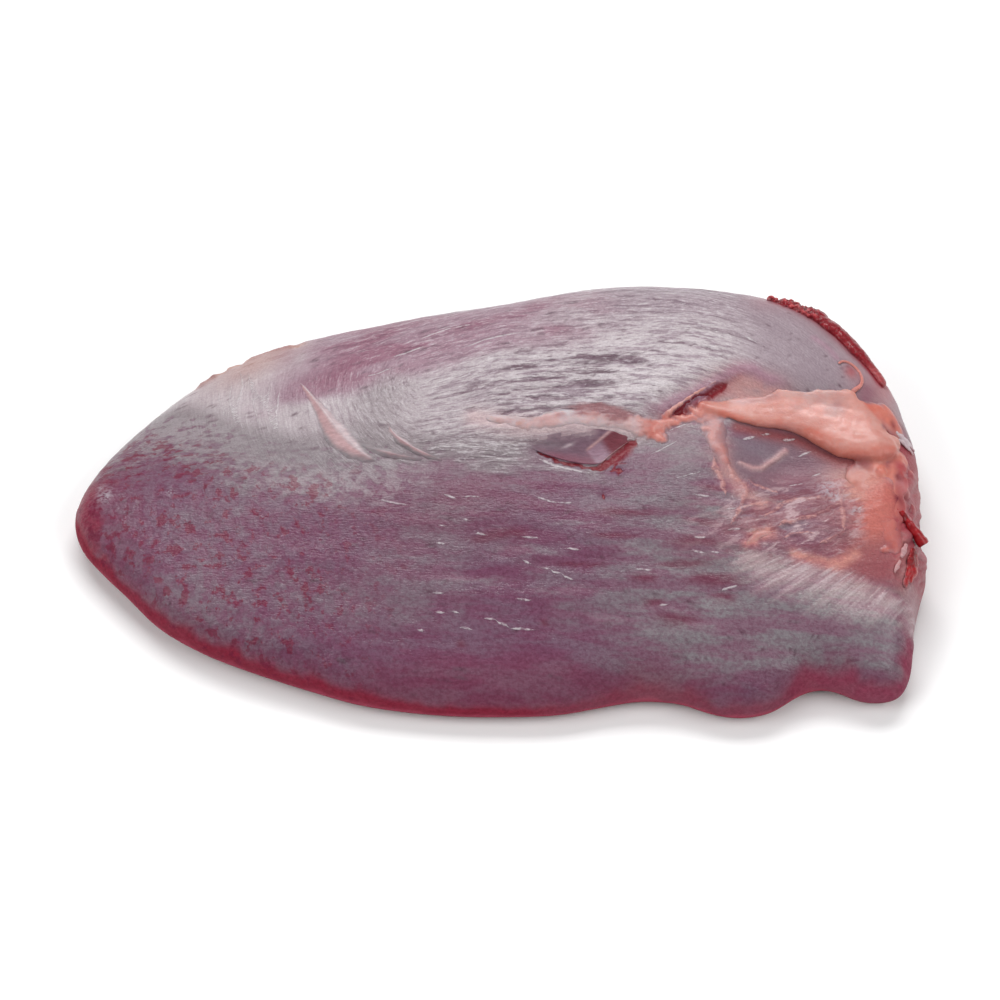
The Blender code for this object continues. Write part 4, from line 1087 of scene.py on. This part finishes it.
# Each fold: its near and far foot, its peak, where its crest lies across it, and its rows of mesh.
FOLDS = (
    (((-33.6, 18.8), (-30.8, 14.8), (-29.5, 11.6), (-28, 8.4), (-27.1, 5.5), (-26, 3.6), (-23.9, 1.8),
     (-21.6, 0.6), (-18.2, -0.4)),
     ((-33.4, 18.9), (-29.6, 14.9), (-27.2, 11.4), (-24.4, 8.4), (-22.6, 6.3), (-21.6, 4.7), (-20, 2.9),
      (-18.6, 1.4), (-17.3, -0.1)),
     0.85, 0.62, 90, 22),
    (((-23.4, 3.7), (-20.2, 2.3), (-17, 1), (-12, 0.4)),
     ((-23.2, 4.3), (-19, 3.4), (-15.6, 2.2), (-11.8, 0.9)), 0.3, 0.5, 48, 12),
    (((-18.7, 9.4), (-17.6, 6.3), (-17.2, 4.6), (-16.2, 3.5), (-14.6, 2.6), (-12.4, 1.2), (-8.9, 0.1)),
     ((-18.5, 9.5), (-16.8, 6.8), (-15.5, 5), (-14.2, 3.9), (-13, 3), (-11.3, 2.1), (-8.8, 0.4)), 0.5, 0.55,
     64, 16),
)
folds_bm = bmesh.new()
for near, far, peak, crest, columns, rows in FOLDS:
    film(folds_bm, near, far, pinched(peak, crest), columns, rows)
folds = to_object("membrane_folds", folds_bm)
roughened(folds, 0.10, 1.8, 21.0)
FOLD_PINK = light(182, 148, 150)
FOLD_WHITE_AND_HIGHLIGHT = light(186, 168, 171)
FOLD_GREY = light(156, 142, 147)
fold_across = shares_kept(folds, "across")
fold_rows = laid(
    np.tile(FOLD_PINK, (len(fold_across), 1)),
    # paler over the crest: the membrane's own whiteness, with a painted highlight
    (FOLD_WHITE_AND_HIGHLIGHT, ease(fold_across, 0.48, 0.62)), (FOLD_GREY, ease(fold_across, 0.72, 0.95)),
)
settled(folds, fold_rows, 0.02, 0.35, 0.06)


def toned_finish(name, scale, low, high, dark, pale, strength, depth, fixed):
    """A finish in a piece's own tones, made uneven by fine threads or crumbs."""
    made, tree, shader = new_finish(name)
    threads = noise_on(tree, add(tree, "ShaderNodeTexCoord").outputs["Object"], scale, 4.0)
    shade = coloured(tree, ramp(tree, threads, low, high), dark, pale)
    fill(tree, shader, {
        "Base Color": tinted(tree, read(tree, "tone", "Color"), shade),
        "Normal": bumped(tree, threads, strength, depth), **fixed,
    })
    return made


wet_film = toned_finish(
    "wet_membrane", (900, 2400, 900), 0.35, 0.65, (0.90, 0.88, 0.89), (1.10, 1.10, 1.10), 0.4, 0.2, {
        "Roughness": 0.42, "Specular IOR Level": 0.2, "Coat Weight": 0.12, "Coat Roughness": 0.2,
        "Subsurface Weight": 0.2, "Subsurface Radius": (1.0, 0.5, 0.45), "Subsurface Scale": 0.8 * MM,
    }
)
folds.data.materials.append(wet_film)
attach(folds, "root")
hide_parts("membrane_fold", "membrane_fold_small")

# The cut flap of capsule below the fat strip: a film that lies back over a slit in the skin, with
# a thin brown window through which the pulp shows, and a pale torn edge beside it.
FLAP_NEAR = ((3, 2.4), (5.2, 1.5), (8, 0.3), (11.4, -0.7), (15, -1.1), (16.3, 0.2), (17.9, 1.6), (20.2, 3.25))
FLAP_FAR = ((3, 2.6), (6.6, 3.6), (9.6, 4.3), (12.1, 4.6), (14.6, 4.6), (16.6, 4.4), (18.4, 3.9), (20.6, 3.3))
WINDOW_MIDDLE, WINDOW_TURN = (16.6, 1.8), math.radians(35.7)


def in_window(x, y):
    """Places along and across the window in the flap, in millimetres from its middle."""
    c, s = math.cos(WINDOW_TURN), math.sin(WINDOW_TURN)
    x, y = x - WINDOW_MIDDLE[0], y - WINDOW_MIDDLE[1]
    return x * c + y * s, y * c - x * s


def flap_height(along, across):
    """Lifted along the slit, settling into the skin on its other sides."""
    ends = min(1.0, along / 0.25, (1 - along) / 0.12)
    return 0.22 * min(max(ends, 0.0), 1.0, (1 - across) / 0.15) * (0.55 + 0.45 * (1 - across)) - 0.06


flap_bm = bmesh.new()
film(flap_bm, FLAP_NEAR, FLAP_FAR, flap_height, 110, 44, 0.4)
flap = to_object("capsule_flap_film", flap_bm)
flap_x, flap_y, _ = numbers(flap).T / MM
flap_across = shares_kept(flap, "across")
window_a, window_b = in_window(flap_x, flap_y)
inside = ease(np.abs(window_a), 3.5, 2.9) * ease(np.abs(window_b), 1.7, 1.25)
window_edge = beside(window_b - 1.65, 0.2) * ease(window_a, 3.4, 2.8) * ease(window_a, -3.6, -2.4)
FLAP_MAUVE = light(112, 84, 98)
FLAP_GREY = light(112, 98, 105)
FLAP_PALE = light(138, 110, 124)
FLAP_EDGE = light(184, 146, 146)
FLAP_GLINT = light(186, 172, 176)
WINDOW_BROWN = light(110, 54, 64)
SLIT_PURPLE = light(118, 66, 82)
flap_rows = laid(
    np.tile(FLAP_MAUVE, (len(flap_x), 1)),
    (FLAP_GREY, 0.9 * spot(flap_x, flap_y, (6.6, 2.5), (4.0, 1.0), -6)),
    (SLIT_PURPLE, 0.8 * ease(flap_across, 0.34, 0.05) * ease(flap_x, 4.0, 8.0) * ease(flap_x, 15.4, 14.4)),
    (WINDOW_BROWN, inside),
    (FLAP_PALE, inside * ease(window_a, 0.2, -1.2)),
    (FLAP_EDGE, 0.75 * window_edge),
    (FLAP_EDGE, 0.7 * ease(flap_across, 0.05, 0.0) * ease(flap_x, 14.6, 16.0)),
    (FLAP_GLINT, 0.6 * spot(flap_x, flap_y, (10.4, 2.0), (0.9, 0.22), 20)),
)
merged = np.maximum(ease(flap_x, 9.0, 4.0), 0.85 * ease(flap_across, 0.5, 0.8) * ease(flap_x, 15.5, 13.0))
settled(flap, flap_rows, -0.06, 0.03, 0.02, merged)
flap.data.materials.append(wet_film)
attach(flap, "root")
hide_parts("capsule_flap")

# The torn rim: raw flesh along the blunt end's upper edge, where the membrane was pulled off. It
# is ragged along its first half, with painted glints on its bumps and painted shade in its pits, and
# a smooth dark roll further on.
RAGGED_BY = ((0, 1), (0.36, 1), (0.52, 0.15), (1, 0.1))
SIZE_BY = ((0, 0.4), (0.1, 0.85), (0.3, 1.2), (0.45, 1.6), (0.7, 1.75), (0.86, 1.15), (1, 1.05))
LIFT_BY = ((0.3, 0.05), (0.5, 0.35), (0.8, 0.1))
chance = np.random.default_rng(5)
torn_bm = bmesh.new()
for share in np.linspace(0.0, 1.0, 110):
    x, y = point_on(TORN, share)
    ragged_here, size, lift = (float(height_of(share, line)) for line in (RAGGED_BY, SIZE_BY, LIFT_BY))
    dx, dy, dz, grown = ragged_here * chance.uniform(-1, 1, 4)
    half = size * (1 + 0.35 * grown)
    lump(torn_bm, x + 0.45 * size * dx, y + 0.45 * size * dy, (half, half, 0.7 * half), lift + 0.35 * dz)
torn = joined("torn_rim_flesh", torn_bm, 0.16, 2)
torn_co = numbers(torn) / MM
torn_share = ease(torn_co[:, 0], 50.5, 48.0)
pits, shreds = unevenness(torn_co, 0.62), unevenness(torn_co, 0.28, 5)
worked = (0.34 * pits + 0.12 * shreds) * (0.12 + 0.88 * torn_share)
reshape(torn, (torn_co + numbers(torn, "normal") * worked[:, None]) * MM)
TORN_RED = light(130, 8, 26)
TORN_PIT_SHADE = light(104, 6, 20)
TORN_GLINT = light(192, 84, 88)
torn_rows = laid(
    np.tile(TORN_RED, (len(torn_co), 1)),
    # painted shade in the pits, and painted glints on the bumps of the ragged half
    (TORN_PIT_SHADE, ease(pits, 0.05, -0.3) * (0.3 + 0.7 * torn_share)),
    (TORN_GLINT, ease(pits + 0.4 * shreds, 0.15, 0.45) * 0.8 * torn_share),
    (RED_FLESH, 0.9 * ease(torn_co[:, 1], 19.6, 17.8)),
)
settled(torn, torn_rows, -0.1, 0.25, 0.15)
raw = toned_finish(
    "raw_flesh", (2200, 2200, 2200), 0.3, 0.7, (0.78, 0.70, 0.72), (1.14, 1.10, 1.10), 0.6, 0.25,
    {"Roughness": 0.35, "Specular IOR Level": 0.25, "Coat Weight": 0.3, "Coat Roughness": 0.1}
)
torn.data.materials.append(raw)
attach(torn, "root")
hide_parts("torn_rim")

# The little curled vessel below the torn rim: a thin pink hoop of a blood vessel, loose in the
# membrane, over skin that is stained red beside its bend.
CURL = (
    (51.9, 16.6), (52.4, 17.2), (53.3, 17.3), (54.4, 16.8), (55.3, 15.5), (55.4, 13.9), (55, 12.8),
    (53.9, 11.7),
)
CURL_PINK = light(190, 122, 114)
curl_bm = bmesh.new()
stroke(curl_bm, rounded(CURL), (0.22, 0.3, 0.28, 0.3, 0.42), (0.18, 0.24, 0.24, 0.26, 0.34), 0.08, 0.14)
curl = joined("curled_vessel", curl_bm, 0.09, 4)
settled(curl, np.tile(CURL_PINK, (len(curl.data.vertices), 1)), 0.0, 0.12, 0.03)
curl.data.materials.append(wet_film)
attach(curl, "root")
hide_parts("vessel_curl")

# The cut end of the great vessel at the hilum: a stiff, dark red stub that stands out past the
# edge, and the clot and raw flesh hanging at its foot.
stump_bm = bmesh.new()
held = [on_form(x, y)[0] + on_form(x, y)[1] * (0.75 * MM) for x, y in ((60.2, -8.2), (61.3, -9.8), (62.4, -10.9))]
tip = held[-1] + (held[-1] - held[0]).normalized() * (1.7 * MM)
for start, end, first, last in zip(held, (*held[1:], tip), (0.3, 0.66, 0.84), (0.62, 0.84, 0.92)):
    reach = end - start
    turn = reach.to_track_quat("Z", "Y").to_matrix().to_4x4()
    bmesh.ops.create_cone(
        stump_bm, cap_ends=True, segments=20, radius1=first * MM, radius2=last * MM, depth=reach.length * 1.12,
        matrix=Matrix.Translation((start + end) / 2) @ turn
    )
for x, y, half, lift, turn in (
    (60, -7.9, (1, 0.7, 0.4), 0.1, -60), (62.2, -14, (1, 1, 0.45), 0.05, -80),
    (62.1, -15.2, (1.3, 1.5, 0.6), 0.1, -80), (61.9, -16.4, (1.3, 1.5, 0.6), 0.1, -75),
    (61.5, -17.6, (1, 1.1, 0.4), 0, -70), (61, -18.6, (0.9, 0.7, 0.35), 0, -70),
):
    lump(stump_bm, x, y, half, lift, turn)
stump = joined("cut_vessel", stump_bm, 0.13, 3)
roughened(stump, 0.14, 0.8, 31.0)
STUMP_RED = light(146, 8, 20)
STUMP_DARK = light(112, 4, 14)
CLOT_RED = light(160, 14, 24)
stump_x, stump_y, _ = numbers(stump).T / MM
stump_rows = laid(
    np.tile(STUMP_RED, (len(stump_x), 1)),
    (STUMP_DARK, ease(grain(stump_x / 0.8, stump_y / 0.8, 81, 2), 0.1, 0.6)),
    (CLOT_RED, 0.8 * ease(stump_y, -14.5, -17.5)),
)
settled(stump, stump_rows, 0.0, 0.3, 0.1)
stump.data.materials.append(raw)
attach(stump, "root")
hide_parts("vessel_stump")

# White shreds of membrane: the wet tuft behind the tongue's tip, and two small tabs by the stump.
# They are loose scraps of the torn membrane, and lie against the fat and the skin.
shreds_bm = bmesh.new()
for half, *line in (
    (0.6, (60.4, 6.4), (61.7, 6.0), (63.2, 5.8)), (0.5, (60.8, 5.4), (61.8, 5.2), (63.0, 4.8)),
    (0.55, (61.1, -13.2), (60.7, -14.2), (60.3, -15.2)), (0.45, (60.0, -16.0), (59.6, -17.0), (59.2, -17.9)),
):
    stroke(shreds_bm, line, (0.6 * half, half, 0.5 * half), (0.4 * half, 0.6 * half, 0.3 * half), 0.12, 0.2)
white_shreds = joined("white_shreds", shreds_bm, 0.11, 3)
roughened(white_shreds, 0.12, 0.6, 41.0)
SHRED_WHITE = light(188, 170, 174)
TAB_PINK = light(182, 140, 142)
shred_y = numbers(white_shreds)[:, 1] / MM
shred_rows = laid(np.tile(SHRED_WHITE, (len(shred_y), 1)), (TAB_PINK, ease(shred_y, 0.0, -5.0)))
settled(white_shreds, shred_rows, 0.0, 0.3, 0.08)
white_shreds.data.materials.append(wet_film)
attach(white_shreds, "root")

# The table under it: a wide, plain, pale floor, matt enough to take only a soft shadow.
FLOOR_HALF = 3.0
floor_bm = bmesh.new()
bmesh.ops.create_grid(floor_bm, x_segments=1, y_segments=1, size=FLOOR_HALF)
floor_finish, tree, shader = new_finish("pale_floor")
fill(tree, shader, {"Base Color": (0.95, 0.95, 0.95, 1.0), "Roughness": 0.9, "Specular IOR Level": 0.1})
floor = to_object("floor", floor_bm, floor_finish)

# Soft studio light: a wide window behind and above, a larger one on each side, and a pale room.
LOOK_AT = Vector((0.0, -2.1, 9.0)) * MM


def window(name, azimuth, elevation, distance, width, height, power):
    """A soft rectangular light that faces the organ from a direction in degrees."""
    lamp = bpy.data.lights.new(name, "AREA")
    lamp.shape = "RECTANGLE"
    lamp.size, lamp.size_y, lamp.energy = width, height, power
    hung = bpy.data.objects.new(name, lamp)
    a, e = math.radians(azimuth), math.radians(elevation)
    away = Vector((math.sin(a) * math.cos(e), math.cos(a) * math.cos(e), math.sin(e)))
    hung.location = LOOK_AT + away * distance
    hung.rotation_euler = away.to_track_quat("Z", "Y").to_euler()
    bpy.context.scene.collection.objects.link(hung)


window("back_window", -4.0, 55.0, 1.1, 0.9, 0.34, 8.5)
window("left_window", 248.0, 42.0, 1.5, 1.0, 0.9, 9.5)
window("right_window", 112.0, 42.0, 1.5, 1.0, 0.9, 9.5)
room = bpy.data.worlds.new("room")
room.use_nodes = True
fill(room.node_tree, room.node_tree.nodes["Background"], {"Color": (0.98, 0.99, 1.0, 1.0), "Strength": 0.25})
bpy.context.scene.world = room
bpy.context.scene.view_settings.view_transform = "Standard"

# The camera stands in front and looks down at the organ from a steep angle.
CAMERA_ELEVATION, CAMERA_DISTANCE, CAMERA_LENS = 55.0, 0.75, 177.0
camera_data = bpy.data.cameras.new("camera")
camera_data.lens = CAMERA_LENS
camera_data.clip_start, camera_data.clip_end = 0.01, 20.0
camera = bpy.data.objects.new("camera", camera_data)
towards = Vector((0.0, -math.cos(math.radians(CAMERA_ELEVATION)), math.sin(math.radians(CAMERA_ELEVATION))))
camera.location = LOOK_AT + towards * CAMERA_DISTANCE
camera.rotation_euler = towards.to_track_quat("Z", "Y").to_euler()
bpy.context.scene.collection.objects.link(camera)
bpy.context.scene.camera = camera
